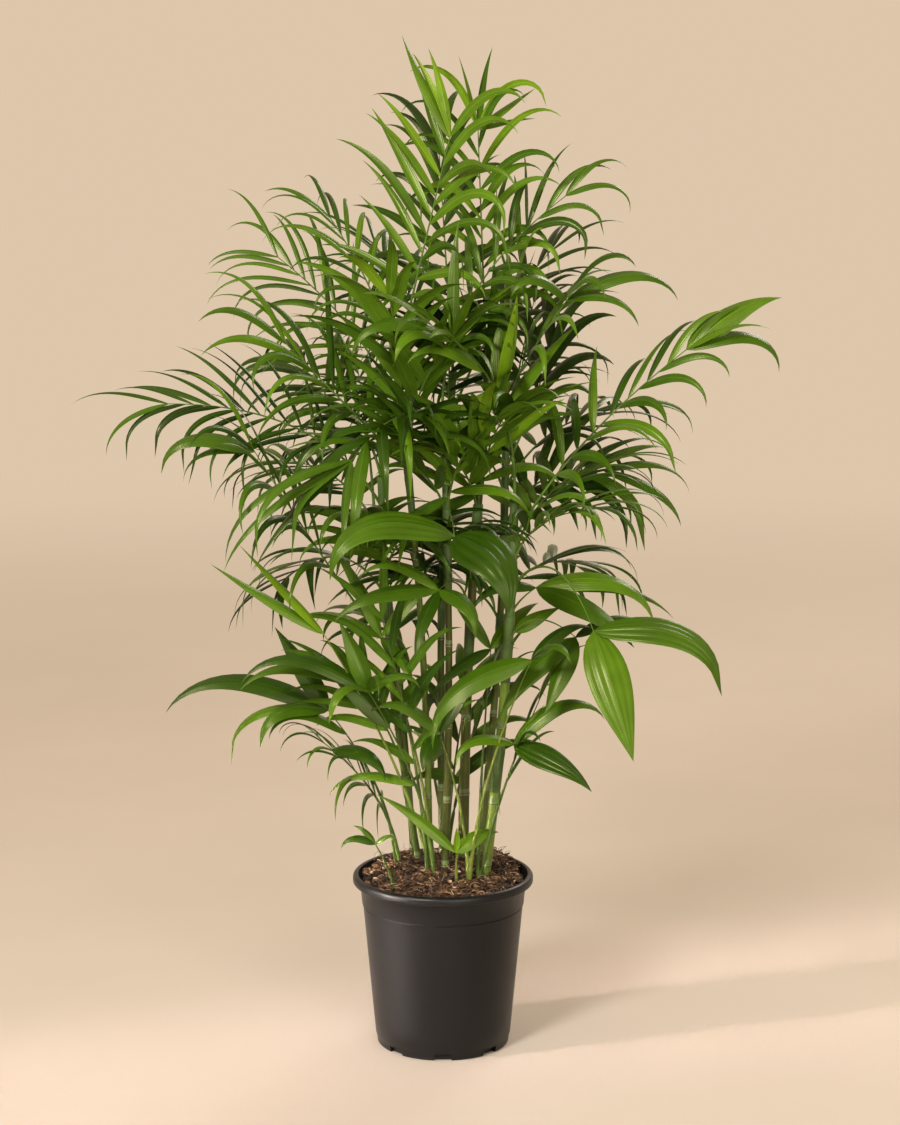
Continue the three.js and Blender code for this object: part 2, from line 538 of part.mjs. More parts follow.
// Pairs run up the rib in turn, longest in the middle, and lean more and more towards its tip
function pairedLeaflets(rib, index) {
  const { plan, frameAt } = rib;
  const thinned = plan.pairs > FEWEST_THINNED;
  const pairs = thinned ? Math.round(plan.pairs * PAIRS_DRAWN) : plan.pairs;
  const width = thinned ? plan.width * WIDER : plan.width;
  const found = [];
  for (let i = 0; i < pairs; i++) {
    for (const hand of [1, -1]) {
      const number = found.length + 1;
      const q = i === pairs - 1 ? 1 : (i + (hand > 0 ? 0 : 0.45)) / (pairs - 0.55);
      const s = Math.min(0.995, plan.first + (1 - plan.first) * q);
      const { t, side, face } = frameAt(s);
      const vary = (channel, name) => spread(index, number, channel, VARY[name]);
      const angle = plan.splay[0] + (plan.splay[1] - plan.splay[0]) * q + vary(1, "angle");
      const away = between(side.multiplyScalar(hand), face, plan.lift + vary(2, "lift"));
      const out = between(t, away, angle);
      const swell = 0.72 + 0.28 * Math.sin(Math.PI * (0.12 + 0.76 * q));
      found.push({
        base: ribMiddle(rib, s),
        out,
        flat: crossed(out, face).normalize(),
        length: plan.blade * swell * (1 + vary(3, "length")),
        width: width * (1 + vary(4, "width")),
        droop: plan.droop * (1 + hand * plan.uneven) * (1 + vary(5, "droop")),
        twist: vary(6, "twist"),
      });
    }
  }
  return found;
}

// Which way a leaflet runs at a share of its length, and its flat: it sets out from the rib and hangs over
function drooped(leaf, e) {
  const level = crossed(leaf.out, UP).normalize();
  const pitch = THREE.MathUtils.radToDeg(Math.asin(leaf.out.z));
  const weight = UPRIGHT_DROOP + (1 - UPRIGHT_DROOP) * Math.cos(radians(pitch));
  const turn = Math.min(DROOP_TURN * leaf.droop * weight * e ** DROOP_POWER, pitch + STEEPEST);
  const along = turned(leaf.out, level, -turn);
  const flat = turned(leaf.flat, level, -turn);
  const lying = flat.dot(level) > 0 ? level : level.negate();
  flat.lerp(lying, RELAX * e);
  return { along, flat: flat.addScaledVector(along, -flat.dot(along)).normalize() };
}

// Three points round the leaflet: two edges and the keel under them. The root sinks into the rib
function leafletSection(leaf, place, along, flat, e, extra) {
  const across = turned(flat, along, leaf.twist * e);
  const below = crossed(along, across);
  const thick = Math.max(leaf.length * LEAF_THICKNESS, THINNEST_LEAF) + extra;
  const share = Math.sin(Math.PI * e ** WIDTH_POWER) ** WIDTH_FALL;
  const half = e === 0 ? LEAF_ROOT_RADIUS : 0.5 * leaf.width * share + extra;
  const depth = e === 0 ? LEAF_ROOT_RADIUS : thick * (1 - 0.5 * e);
  return [
    place.clone().addScaledVector(across, half).addScaledVector(below, depth * 0.35),
    place.clone().addScaledVector(across, -half).addScaledVector(below, depth * 0.35),
    place.clone().addScaledVector(below, -depth * 0.65),
  ];
}

// A leaflet sets out from the rib and droops more and more towards its tip
function leafletSolid(leaf, extra) {
  const cuts = leaf.length > LONG_LEAF ? LONG_LEAF_CUTS : leaf.length > SHORT_LEAF ? LEAF_CUTS : SHORT_LEAF_CUTS;
  const rings = [];
  const place = leaf.base.clone();
  for (let j = 0; j <= LEAF_STEPS; j++) {
    const { along, flat } = drooped(leaf, j / LEAF_STEPS);
    if (j > 0) place.addScaledVector(along, leaf.length / LEAF_STEPS);
    if (rings.length < cuts.length && j / LEAF_STEPS >= cuts[rings.length]) {
      rings.push(leafletSection(leaf, place, along, flat, j / LEAF_STEPS, extra));
    }
  }
  rings.push([place]);
  return skinOf(rings);
}

// What stands in the space so far, each with its node's name
const placed = [];

function occupy(node, solid) {
  placed.push({ node, solid, box: solid.boundingBox() });
}

function boxesMeet(a, b) {
  return [0, 1, 2].every((i) => a.min[i] <= b.max[i] && b.min[i] <= a.max[i]);
}

function isFree(node, solid) {
  const box = solid.boundingBox();
  return placed.every(
    (other) => other.node === node || !boxesMeet(box, other.box) || solid.intersect(other.solid).volume() < 1e-6,
  );
}

// A leaflet where it is clear of every other node, or nothing
function placedLeaflet(node, leaf) {
  const normal = crossed(leaf.flat, leaf.out).normalize();
  for (const [turn, raise] of SWINGS) {
    const out = turned(turned(leaf.out, normal, turn), leaf.flat, raise);
    const swung = { ...leaf, out, flat: turned(leaf.flat, normal, turn) };
    if (isFree(node, leafletSolid(swung, CLEARANCE))) {
      const solid = leafletSolid(swung, 0);
      occupy(node, solid);
      return solid;
    }
  }
  return null;
}

function addMesh(group, name, solid, finish) {
  const mesh = new THREE.Mesh(geometryOf(solid), finish);
  mesh.name = name;
  group.add(mesh);
}

// Everything is placed in turn: the pot, the canes, every rib, and then the leaflets frond by frond
const palm = new THREE.Group();
const canes = new THREE.Group();
const fronds = new THREE.Group();
palm.add(canes, fronds);

const pot = potSolid();
addMesh(palm, "pot", pot, POT_FINISH);
occupy("pot", pot);

let soil = soilSolid();
for (const name of Object.keys(CANES)) {
  const cane = caneSolid(name, 0);
  soil = soil.subtract(caneSolid(name, CLEARANCE));
  addMesh(canes, "cane_" + name, cane, CANE_FINISH);
  occupy("cane_" + name, cane);
}

const sprouts = Object.entries(FRONDS).map(([name, row], i, all) => {
  const cane = Array.isArray(row[0]) ? null : caneSolid(row[0], CLEARANCE);
  const ribs = ribsOf(row).map((rib, turn) => ({ ...rib, index: i + 1 + turn * all.length }));
  let solid = wasm.Manifold.union(ribs.map((rib) => ribSolid(rib, 0)));
  if (cane && ribs.length > 1) solid = solid.add(sheathSolid(row[0], row[1]));
  if (cane) solid = largestBody(solid.subtract(cane));
  else soil = ribs.reduce((left, rib) => left.subtract(ribSolid(rib, CLEARANCE)), soil);
  occupy("frond_" + name, solid);
  return { node: "frond_" + name, ribs, solid, cane };
});
soil = largestBody(soil);
addMesh(palm, "soil", soil, SOIL_FINISH);
occupy("soil", soil);

for (const { node, ribs, solid, cane } of sprouts) {
  let frond = solid;
  for (const leaf of ribs.flatMap((rib) => [...singleBlades(rib), ...pairedLeaflets(rib, rib.index)])) {
    const leaflet = placedLeaflet(node, leaf);
    if (leaflet) frond = frond.add(leaflet);
  }
  if (cane) frond = frond.subtract(cane);
  addMesh(fronds, node, largestBody(frond).simplify(SLIVER), LEAF_FINISH);
}

export default palm;
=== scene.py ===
# A bamboo palm in its nursery pot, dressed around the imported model.
# Tables and leaf rules are in millimetres, as the solids are, and become metres where a mesh is made.
import math

import bpy
import numpy as np
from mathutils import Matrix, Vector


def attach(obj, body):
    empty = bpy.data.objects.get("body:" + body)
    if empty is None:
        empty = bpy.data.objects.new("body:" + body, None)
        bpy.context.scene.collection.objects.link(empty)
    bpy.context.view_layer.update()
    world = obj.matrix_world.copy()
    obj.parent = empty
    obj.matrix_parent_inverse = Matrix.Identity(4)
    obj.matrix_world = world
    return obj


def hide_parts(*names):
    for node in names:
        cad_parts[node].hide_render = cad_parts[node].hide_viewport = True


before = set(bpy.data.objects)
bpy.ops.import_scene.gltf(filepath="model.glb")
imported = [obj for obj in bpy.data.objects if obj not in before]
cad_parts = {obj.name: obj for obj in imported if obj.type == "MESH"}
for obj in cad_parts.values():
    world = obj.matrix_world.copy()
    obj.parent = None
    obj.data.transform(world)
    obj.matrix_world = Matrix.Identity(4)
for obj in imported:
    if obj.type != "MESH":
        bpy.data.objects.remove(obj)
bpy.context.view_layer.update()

MM = 0.001
UP = np.array([0.0, 0.0, 1.0])
draw = np.random.default_rng(7)

# Camera, where the photograph was taken from: its place in metres, how far it looks down, its lens
CAMERA_PLACE = (0.0106, -4.0, 1.45)
CAMERA_PITCH = 10.1
LENS = 87.87
SENSOR_HEIGHT = 36

# Studio: the floor, the air behind it, and the distances in metres between which one passes into
# the other
FLOOR_COLOUR = (0.535, 0.468, 0.397)
FLOOR_REACH = 120000
FLOOR_DROP = 0.5
AIR_COLOUR = (0.81, 0.635, 0.455)
AIR_STRENGTH = 0.9
FADE = (1.6, 6.0)
# Lights: place, aim and size in metres, power in watts, colour, and the width of the beam in degrees
LIGHTS = {
    "key": [(-2.2, -3.6, 3.0), (0, 0, 0.8), 1.1, 222, (1.0, 0.97, 0.92), 180],
    "fill": [(1.6, -4.2, 1.5), (0, 0, 0.7), 2.6, 110, (1.0, 0.98, 0.96), 180],
    "side": [(-2.7, -1.0, 0.4), (0, 0, 0.13), 0.5, 3.0, (1.0, 0.88, 0.82), 12],
    "back": [(1.8, 3.0, 3.2), (0, 0, 0.9), 1.6, 60, (1.0, 0.95, 0.88), 180],
}

# Pot
POT_HEIGHT = 263
RIM_RADIUS = 136
MOUTH_RADIUS = 127.5
BODY_TOP_RADIUS = 124
BASE_RADIUS = 101
LIP_FOOT = POT_HEIGHT - 13
WALL_STEP_FOOT = POT_HEIGHT - 47
WALL_STEP = 1.2
WALL_GROOVE = 0.9
BASE_RING_TOP = 14
BASE_RING_STEP = 1.2
FOOT_ROUND = 3
EDGE_ROUND = 2
LIP_ROUND = 6
MOUTH_ROUND = 1.5
WALL = 3
FLOOR = 6
POT_SIDES = 144
POT_SHARP = 38
NOTCHES = 8
NOTCH = {"deep": 18, "wide": 26, "high": 10}
POT_COLOUR = (0.0036, 0.0034, 0.0036)

# Soil: its level and heaps, then the bed of fine soil, which lies a little under that level
SOIL_EDGE = 254
SOIL_HEAP = 18
SOIL_HEAP_Y = 25
SOIL_BUMP = 3
SOIL_BANK = {"x": 62, "y": 70, "spread": 42, "high": 12}
SOIL_RADIUS = 121.5
SOIL_RINGS = 40
SOIL_SIDES = 120
SOIL_UNDER = 2
SOIL_ROUGH = 1.6
SOIL_SKIRT = {"inset": 4, "deep": 20}
SOIL_COLOUR = (0.022, 0.011, 0.006)

# Bark chips: length, width as a share of it, thickness, lean, roll, how far out a corner is as a share,
# height over the soil, and how many are longer and how much
CHIPS = 1000
CHIP = {"long": (5, 11), "wide": (0.2, 0.55), "thick": (0.5, 1.6), "lean": 22, "roll": 35,
        "corner": (0.6, 1.15), "over": (-1.5, 1.6)}
LONG_CHIPS = 0.15
LONGER = 1.6
CHIP_SHARP = 30
CHIP_COLOURS = [(0.024, 0.011, 0.004), (0.07, 0.032, 0.011), (0.16, 0.08, 0.03), (0.31, 0.176, 0.082),
                (0.6, 0.4, 0.24)]
CHIP_ODDS = [0.48, 0.26, 0.14, 0.08, 0.04]

# Coir fibres lie anywhere on the soil. Strands are longer, and stand up near a few spots.
FIBRES = 1300
FIBRE = {"curl": 48, "rise": (-8, 50), "long": (12, 30), "thick": (0.4, 1.6), "over": (-0.8, 2.2)}
FIBRE_STEPS = 8
FIBRE_SIDES = 4
FIBRE_COLOURS = [(0.03, 0.014, 0.005), (0.078, 0.037, 0.013), (0.165, 0.085, 0.034), (0.33, 0.195, 0.096)]
FIBRE_ODDS = [0.36, 0.32, 0.22, 0.1]
STRANDS = 46
STRAND = {"rise": (50, 85), "long": (30, 60), "thick": 0.4, "scatter": 12}
STRAND_SPOTS = [(-78, 52), (66, 66), (-52, 74)]

# Canes: foot x, foot y, top x, top y, top z, foot radius, top radius, sideways bow, green, streaks
CANES = {
    "right": [62, -10, 106, 0, 835, 8.4, 5.5, 8, (0.118, 0.18, 0.022), (0.062, 0.105, 0.014)],
    "tall": [30, 30, 66, 50, 985, 8.6, 5.2, -8, (0.048, 0.066, 0.01), (0.052, 0.042, 0.012)],
    "centre": [2, -16, 2, 0, 930, 6.0, 4.4, 7, (0.038, 0.052, 0.008), (0.044, 0.036, 0.01)],
    "left": [-34, 34, -92, 40, 860, 5.2, 4.2, -14, (0.048, 0.074, 0.011), (0.028, 0.044, 0.009)],
    "slim": [-20, 4, -68, -5, 1030, 5.4, 4.2, 12, (0.074, 0.112, 0.014), (0.042, 0.062, 0.01)],
    "back": [0, 62, 15, 110, 1010, 6.0, 4.6, -10, (0.034, 0.05, 0.008), (0.038, 0.033, 0.01)],
    "back_right": [52, 50, 95, 115, 900, 6.0, 4.6, 10, (0.054, 0.078, 0.012), (0.034, 0.046, 0.009)],
    "back_left": [-44, 64, -105, 125, 800, 5.2, 4.2, 8, (0.048, 0.07, 0.011), (0.032, 0.044, 0.009)],
}
CANE_FOOT = 238
CANE_FOOT_LEVEL = 252
CANE_SIDES = 20
# Joints of a cane: the least height of the first and how much higher it may be, how far the last is
# from the top at least, and the spacing low down and high up
FIRST_JOINT = (14, 22)
LAST_JOINT = 20
JOINT_SPACING = (95, 150)
SPACING_GROWTH = 1.6
JOINT_VARY = 10
# The ring at a joint: height from it, how far the cane swells there, and its finish from there up
# The dark band on the underside of each swelling, from 2.2 to 0.5 below the joint, is painted shade.
SKIN, PAINTED_SHADE, SCAR, BLOOM = range(4)
RING = {-14: (0, SKIN), -4.5: (0.05, SKIN), -2.2: (0.1, PAINTED_SHADE), -0.5: (0.55, SCAR), 0.7: (0.5, SKIN),
        2.8: (0.15, BLOOM), 9: (0, SKIN)}

# Ribs, and the sheath at the foot of one: its least length and how much longer it may be
RIB_FOOT_RADIUS = 2.5
YOUNG_FOOT_RADIUS = 4.0
RIB_TIP_RADIUS = 0.7
RIB_TAPER = 0.8
RIB_SIDES = 8
RIB_STATIONS = 24
RIB_BEND_AT = 0.42
BESIDE_DROP = 12
YOUNG_FOOT = 240
SHEATH_LENGTH = (55, 25)
RIB, SHEATH, PALE_STALK, STALK = range(4)

# Leaflets. Those wider than BROAD_LEAF have the broad section. Half the width is LEAF_ROOT_RADIUS at
# least in the first LEAF_ROOT of the length, and LEAF_TIP_RADIUS beyond it.
LEAF_ROWS = 16
BROAD_LEAF = 38
SECTION = {"columns": 6, "keel": 0.17, "pleats": 3, "pleat": 0.012, "wave": 0.02}
BROAD_SECTION = {"columns": 20, "keel": 0.102, "pleats": 5, "pleat": 0.013, "wave": 0.05}
LEAF_THICKNESS = 0.45
LEAF_ROOT_RADIUS = 0.9
LEAF_ROOT = 0.1
LEAF_TIP_RADIUS = 0.35
LEAF_SHARP = 60
SWEEP = 16
WIDTH_POWER = 0.66
DROOP_TURN = 125
DROOP_POWER = 2.5
UPRIGHT_DROOP = 0.45
STEEPEST = 86
RELAX = 0.35
TIP_PLACE = 0.99
KEYS_A_RIB = 40
# Paired leaflets: the last place on the rib, how far the left ones are ahead of the right, the share
# of the table's width and the least share of its length that they have, and how far each varies
LAST_PLACE = 0.995
STAGGER = 0.45
SLENDER = 0.84
SHORTEST = 0.72
VARY = {"angle": 12, "lift": 15, "length": 0.15, "width": 0.18, "droop": 0.5, "twist": 42}

KINDS = {
    "feather": {"pairs": 12, "blade": 160, "width": 10.5, "first": 0.3, "splay": [66, 20], "droop": 0.8,
                "lift": 8},
    "broad": {"pairs": 8, "blade": 175, "width": 17, "first": 0.34, "splay": [62, 18], "droop": 0.75,
              "lift": 12},
    "bushy": {"pairs": 6, "blade": 185, "width": 24, "first": 0.25, "splay": [48, 16], "droop": 0.4,
              "lift": 12},
    "fan": {"pairs": 0, "blade": 180, "width": 23, "first": 0.5, "splay": [54, 18], "droop": 0.7, "lift": 8},
}

# Fronds: foot, heading, reach, climb, bow, roll, kind, and what differs from the kind. The foot is a
# height on the cane of the frond's own name, or the place of a young shoot in the soil. A single blade
# is its heading, pitch, length, width, droop, roll and, where it isn't at the tip, its place on the
# rib. A frond beside another is its heading, reach, climb, bow and roll, and what differs, if it does.
FRONDS = {
    "slim_1": [1030, -20, 84, 333, 0, -75, "broad",
        {"pairs": 9, "blade": 180, "width": 17, "droop": 0.7, "uneven": 0.6, "splay": [62, 30],
         "blades": [[178, 62, 160, 18, 0, -60], [150, 80, 131, 14, 0, -60]]}],
    "slim_2": [978, 150, 120, 265, 22, 20, "feather", {"pairs": 11, "blade": 150, "width": 10, "droop": 0.9}],
    "slim_3": [945, 162, 195, 240, 25, 55, "feather",
        {"pairs": 14, "blade": 160, "width": 9, "first": 0.15, "droop": 0.7}],
    "slim_4": [915, -100, 115, 225, 20, 0, "bushy",
        {"width": 23,
         "beside": [[-50, 110, 175, 20, 0,
                     {"pairs": 5,
                      "blades": [[-166, 24, 175, 28, 1, -50, 0.97], [-125, 30, 140, 28, 1.1, -40, 0.9],
                                 [95, 84, 170, 18, 0.05, 0]]}]],
         "blades": [[-175, 0, 150, 22, 0.5, -40, 0.12], [0, 20, 140, 22, 0.8, 40, 0.16]]}],
    "slim_5": [880, -155, 190, 190, 0, 50, "broad",
        {"pairs": 7, "blade": 185, "width": 17, "droop": 0.8, "beside": [[-84, 120, 112, 18, 20]]}],
    "tall_1": [985, -107, 52, 390, 0, 10, "broad",
        {"pairs": 10, "blade": 175, "width": 13.5, "droop": 1.5,
         "blades": [[10, 35, 105, 15, 0.1, 40], [0, 15, 85, 13, 0.1, 40], [150, 75, 110, 12, 0, 0],
                    [-60, 80, 120, 12, 0, 0]]}],
    "tall_2": [940, -30, 70, 285, 0, -40, "broad",
        {"pairs": 5, "blade": 155, "width": 20, "droop": 0.5,
         "blades": [[-85, 78, 205, 20, 0.05, 180, 0.2], [5, 74, 190, 17, 0.1, 20, 0.3],
                    [165, 76, 180, 17, 0.1, -20, 0.15]]}],
    "tall_3": [900, -41, 160, 232, 10, -30, "broad",
        {"pairs": 5, "blade": 155, "width": 20, "droop": 0.9,
         "blades": [[-4, 28, 180, 26, 0.75, 50], [-40, 10, 140, 17, 0.7, 40],
                    [-150, 40, 110, 28, 1.2, -50]]}],
    "tall_4": [650, -105, 185, 71, 30, 0, "fan",
        {"blades": [[-168, 0, 165, 32, 0.45, -40], [-40, -12, 105, 28, 0.8, 30],
                    [-115, -35, 120, 24, 0.4, 0], [170, 35, 135, 20, 0.8, -40]]}],
    "tall_5": [815, -72, 150, 165, 25, 0, "bushy",
        {"beside": [[-118, 130, 110, 25, 0]],
         "blades": [[-165, -20, 160, 24, 0.3, -40, 0.1], [5, -25, 130, 22, 0.2, 40, 0.14],
                    [-5, 25, 140, 20, 0.9, 45, 0.2]]}],
    "right_1": [835, -124, 217, 270, 60, 25, "broad",
        {"pairs": 3, "blade": 165, "width": 24, "droop": 0.5, "first": 0.7,
         "blades": [[100, 80, 150, 30, 0.05, 0, 0.42], [-50, 72, 165, 28, 0.05, 180, 0.46],
                    [22, 52, 170, 30, 0.1, 20, 0.38], [178, -38, 120, 28, 0.1, -75, 0.5],
                    [-165, 35, 130, 24, 0.8, -55, 0.62]]}],
    "right_2": [770, -9, 255, 290, 20, -45, "broad",
        {"pairs": 8, "blade": 155, "width": 18, "droop": 0.7,
         "blades": [[4, 38, 160, 38, 0.35, 65], [-5, 20, 165, 26, 0.9, 50]]}],
    "right_3": [700, -52, 188, -38, 60, 0, "fan",
        {"blades": [[-14, 6, 240, 50, 1, 45], [-62, -55, 200, 62, 0.15, 25]]}],
    "right_4": [655, -30, 45, 50, 5, 0, "fan",
        {"blades": [[-10, 12, 205, 36, 0.7, 45], [8, 2, 220, 25, 0.35, 40], [-40, -12, 195, 38, 0.2, 40],
                    [-150, 10, 120, 24, 0.7, -40]]}],
    "right_5": [620, -30, 114, 16, 30, 0, "fan",
        {"blades": [[-130, -58, 125, 34, 0.1, -20], [-165, -35, 175, 36, 0.3, -40],
                    [20, 25, 110, 20, 0.5, 40], [10, 30, 80, 24, 0.2, 60, 0.12]]}],
    "right_6": [455, -71, 62, 22, 12, 0, "fan",
        {"blades": [[5, 46, 165, 28, 1, 50], [-35, -12, 145, 42, 0.35, 40], [-160, 18, 115, 22, 0.9, -40],
                    [20, 55, 75, 10, 0.1, 20]]}],
    "right_7": [738, 42, 170, 130, 30, 0, "broad", {"beside": [[-35, 120, 100, 25, 0]]}],
    "centre_1": [930, -6, 178, 348, 55, -55, "broad",
        {"pairs": 9, "blade": 140, "width": 15, "droop": 1, "splay": [60, 16]}],
    "centre_2": [880, -132, 199, 29, 70, 10, "broad",
        {"pairs": 6, "blade": 195, "width": 23, "droop": 0.9, "splay": [64, 20],
         "blades": [[-170, -16, 250, 17, 0.6, -40], [-160, -26, 250, 16, 0.45, -40],
                    [-172, -40, 215, 15, 0.2, -40], [-150, -8, 230, 15, 0.8, -45]]}],
    "centre_3": [760, -87, 186, 48, 40, 0, "fan",
        {"blades": [[-155, 18, 232, 54, 0.95, -45], [-48, -12, 165, 76, 0.75, 30]]}],
    "centre_4": [815, -55, 130, 150, 25, 0, "bushy",
        {"blade": 180, "beside": [[-150, 120, 110, 25, 0]],
         "blades": [[-170, -28, 150, 24, 0.2, -35, 0.12], [-10, 8, 140, 22, 0.7, 40, 0.16],
                    [172, 30, 130, 20, 0.8, -40, 0.22]]}],
    "left_1": [860, 145, 170, 160, 30, 30, "feather", {"pairs": 9, "blade": 150, "width": 15}],
    "left_2": [815, -163, 322, 165, 50, 55, "feather",
        {"pairs": 12, "blade": 155, "width": 9.5, "droop": 0.65, "uneven": -0.4, "splay": [54, 16]}],
    "left_3": [600, -147, 228, 318, -5, 45, "broad",
        {"pairs": 6, "blade": 190, "width": 16, "droop": 0.95, "first": 0.42, "splay": [50, 16],
         "blades": [[-170, 20, 165, 28, 1, -50], [170, 5, 130, 17, 0.7, -40]]}],
    "left_4": [400, -140, 90, 160, 10, -40, "fan",
        {"pairs": 5, "blade": 160, "width": 20, "droop": 0.4, "blades": [[-176, 20, 190, 24, 0.5, -50]]}],
    "left_5": [715, -105, 150, 110, 25, 0, "broad",
        {"pairs": 7, "blade": 170, "width": 20, "droop": 0.65, "first": 0.25,
         "beside": [[-62, 120, 80, 25, 0]],
         "blades": [[-8, -20, 150, 22, 0.3, 40, 0.12], [175, 25, 150, 20, 0.9, -40, 0.18]]}],
    "back_1": [1010, 100, 120, 320, 0, 0, "broad", {"blade": 165}],
    "back_2": [960, 128, 190, 230, 20, 0, "feather", {"blade": 155}],
    "back_3": [930, 40, 200, 250, 20, 0, "broad", {"blade": 165, "beside": [[-90, 110, 160, 20, 0]]}],
    "back_4": [880, 85, 260, 90, 40, 0, "feather", {}],
    "back_5": [700, 105, 220, 30, 50, 0, "broad", {"beside": [[-80, 120, 100, 25, 0]]}],
    "back_right_1": [900, 75, 180, 200, 8, 0, "feather", {}],
    "back_right_2": [860, 31, 80, 175, -4, 0, "broad", {"pairs": 5, "blade": 175, "width": 28, "droop": 0.9}],
    "back_right_3": [830, 35, 210, 110, 30, 0, "broad", {"beside": [[-150, 110, 120, 20, 0]]}],
    "back_right_4": [760, 6, 153, 98, 40, -40, "broad",
        {"pairs": 7, "blade": 175, "width": 22, "droop": 0.8}],
    "back_right_5": [640, 50, 190, 50, 40, 0, "broad", {"beside": [[-165, 130, 80, 25, 0]]}],
    "back_left_1": [800, 100, 190, 210, 20, 0, "feather", {}],
    "back_left_2": [765, 138, 200, 90, 30, 20, "feather", {}],
    "back_left_3": [660, 140, 210, 10, 50, 0, "broad", {"beside": [[-45, 130, 80, 25, 0]]}],
    "back_left_4": [540, 98, 190, 60, 30, 0, "fan", {"pairs": 5}],
    "young_1": [[-22, -25], -142, 85, 430, 15, -45, "fan",
        {"pairs": 5, "blade": 150, "width": 19, "droop": 0.5,
         "blades": [[178, 15, 150, 18, 0.7, -45, 0.42]]}],
    "young_2": [[-13, -8], -153, 182, 412, 20, 0, "fan",
        {"beside": [[178, 80, 390, 15, 0,
                     {"blades": [[-160, 30, 150, 24, 0.5, -45], [160, 65, 160, 24, 0.1, -40],
                                 [10, 52, 150, 24, 0.3, 40], [-60, -20, 110, 20, 0.4, 20]]}]],
         "blades": [[-175, 32, 195, 19, 0, -55], [-165, 48, 185, 18, 0, -55]]}],
    "young_3": [[-13, -34], -154, 108, 322, 25, 0, "fan",
        {"blades": [[165, 70, 115, 30, 0, -60], [178, 32, 215, 25, 0.75, -50],
                    [172, 48, 165, 34, 0.1, -60, 0.82], [-120, 25, 130, 26, 1.3, 0],
                    [-75, 45, 110, 14, 1.2, 0], [-20, 40, 95, 20, 0.9, 40]]}],
    "young_4": [[-72, 48], -172, 104, 268, 25, 30, "fan",
        {"blades": [[180, 24, 268, 36, 0.6, -50], [168, 58, 150, 34, 0, -60], [178, 4, 205, 21, 1, -40],
                    [-150, 12, 145, 28, 1, -40], [-160, 35, 150, 20, 0.9, -45, 0.85]]}],
    "young_5": [[-66, 30], -160, 118, 225, 30, 20, "feather",
        {"pairs": 8, "blade": 120, "width": 9, "first": 0.5, "droop": 0.9,
         "blades": [[-35, 5, 115, 32, 0.7, 30, 0.95]]}],
    "young_6": [[38, -40], -40, 120, 379, 20, 0, "fan",
        {"beside": [[-150, 50, 255, 12, 0,
                     {"blades": [[-175, 45, 120, 24, 0.8, -50], [15, 60, 130, 22, 0.4, 40],
                                 [-120, -20, 75, 26, 0.5, -20]]}]],
         "blades": [[-172, -16, 212, 38, 0.65, -50], [-60, 35, 120, 24, 0.8, 20],
                    [25, 40, 120, 22, 0.7, 40]]}],
    "young_7": [[52, -32], -12, 92, 300, 10, 0, "fan",
        {"pairs": 3, "blade": 140, "width": 22,
         "beside": [[62, 42, 370, 8, 0,
                     {"pairs": 0,
                      "blades": [[165, 55, 140, 26, 0.3, -30], [40, 40, 120, 24, 0.4, 40],
                                 [-160, -25, 120, 22, 0.3, -40]]}]]}],
    "young_8": [[20, -44], -90, 12, 70, 0, 0, "fan",
        {"blades": [[176, 42, 150, 19, 0.1, -60], [28, 32, 78, 24, 0.4, 60], [-80, 74, 50, 10, 0.4, 0]]}],
    "young_9": [[-70, -62], -150, 35, 90, 5, 0, "fan",
        {"blades": [[-170, 25, 60, 14, 0.9, -50], [160, 50, 45, 10, 0.5, -50],
                    [-20, 40, 40, 10, 0.7, 50]]}],
    "young_10": [[5, 88], 75, 130, 260, 25, 0, "fan",
        {"pairs": 4, "blade": 160, "width": 24,
         "beside": [[-165, 70, 330, 12, 0], [-24, 75, 300, 12, 0]]}],
}

# Leaf tones, from the newest growth to the oldest; the fronds behind take a deeper one as painted shade
TONE_COLOURS = {
    "lime": (0.185, 0.285, 0.007),
    "bright": (0.11, 0.2, 0.005),
    "fresh": (0.067, 0.138, 0.004),
    "mid": (0.042, 0.095, 0.003),
    "deep": (0.02, 0.053, 0.0015),
    "dark": (0.009, 0.028, 0.001),
}
TONES = list(TONE_COLOURS)
# The tone of fronds in front, behind, and of those that differ. TONE_SHIFT of the leaflets are one tone
# newer than their frond, and as many are one tone older.
FRONT_TONE = "mid"
# Fronds behind are a tone deeper than those in front, as painted shade inside the crown.
BACK_PAINTED_SHADE_TONE = "deep"
FROND_TONES = {
    "slim_1": "fresh", "slim_4": "fresh", "tall_1": "fresh", "tall_2": "fresh", "tall_5": "fresh",
    "right_1": "fresh", "centre_4": "fresh", "young_2": "fresh", "young_8": "fresh",
    "left_1": "deep", "left_2": "deep", "young_6": "deep", "back_right_2": "dark",
}
TONE_SHIFT = 0.22
# Shoots with yellower stalks
PALE_SHOOTS = ["young_2", "young_6", "young_8"]
# Fine veins along a leaf: so many in a strip so wide
VEINS = 9
VEINED_WIDTH = 24
WAX_TINT = (1.0, 0.96, 0.55, 1.0)

# A box, by the signs of its corners
BOX_CORNERS = [(x, y, z) for x in (-1, 1) for y in (-1, 1) for z in (-1, 1)]
BOX_FACES = [[0, 1, 3, 2], [4, 6, 7, 5], [0, 4, 5, 1], [2, 3, 7, 6], [0, 2, 6, 4], [1, 5, 7, 3]]


def noise(key):
    """A number from 0 to 1 that looks random and is always the same for one key."""
    wave = math.sin(key * 12.9898 + 78.233) * 43758.5453
    return wave - math.floor(wave)


def spread(frond, leaf, channel, size):
    """How far, up to the size, a leaflet differs from its frond's rule in one respect."""
    return (2 * noise(frond * 61 + leaf * 7 + channel * 0.37) - 1) * size


def cos_sin(degrees):
    return math.cos(math.radians(degrees)), math.sin(math.radians(degrees))


def compass(degrees):
    """The level direction at an angle from +X."""
    return np.array([*cos_sin(degrees), 0.0])


def unit(vector):
    return vector / np.linalg.norm(vector)


def between(a, b, degrees):
    """The direction turned from a towards b, which is square to it."""
    c, s = cos_sin(degrees)
    return a * c + b * s


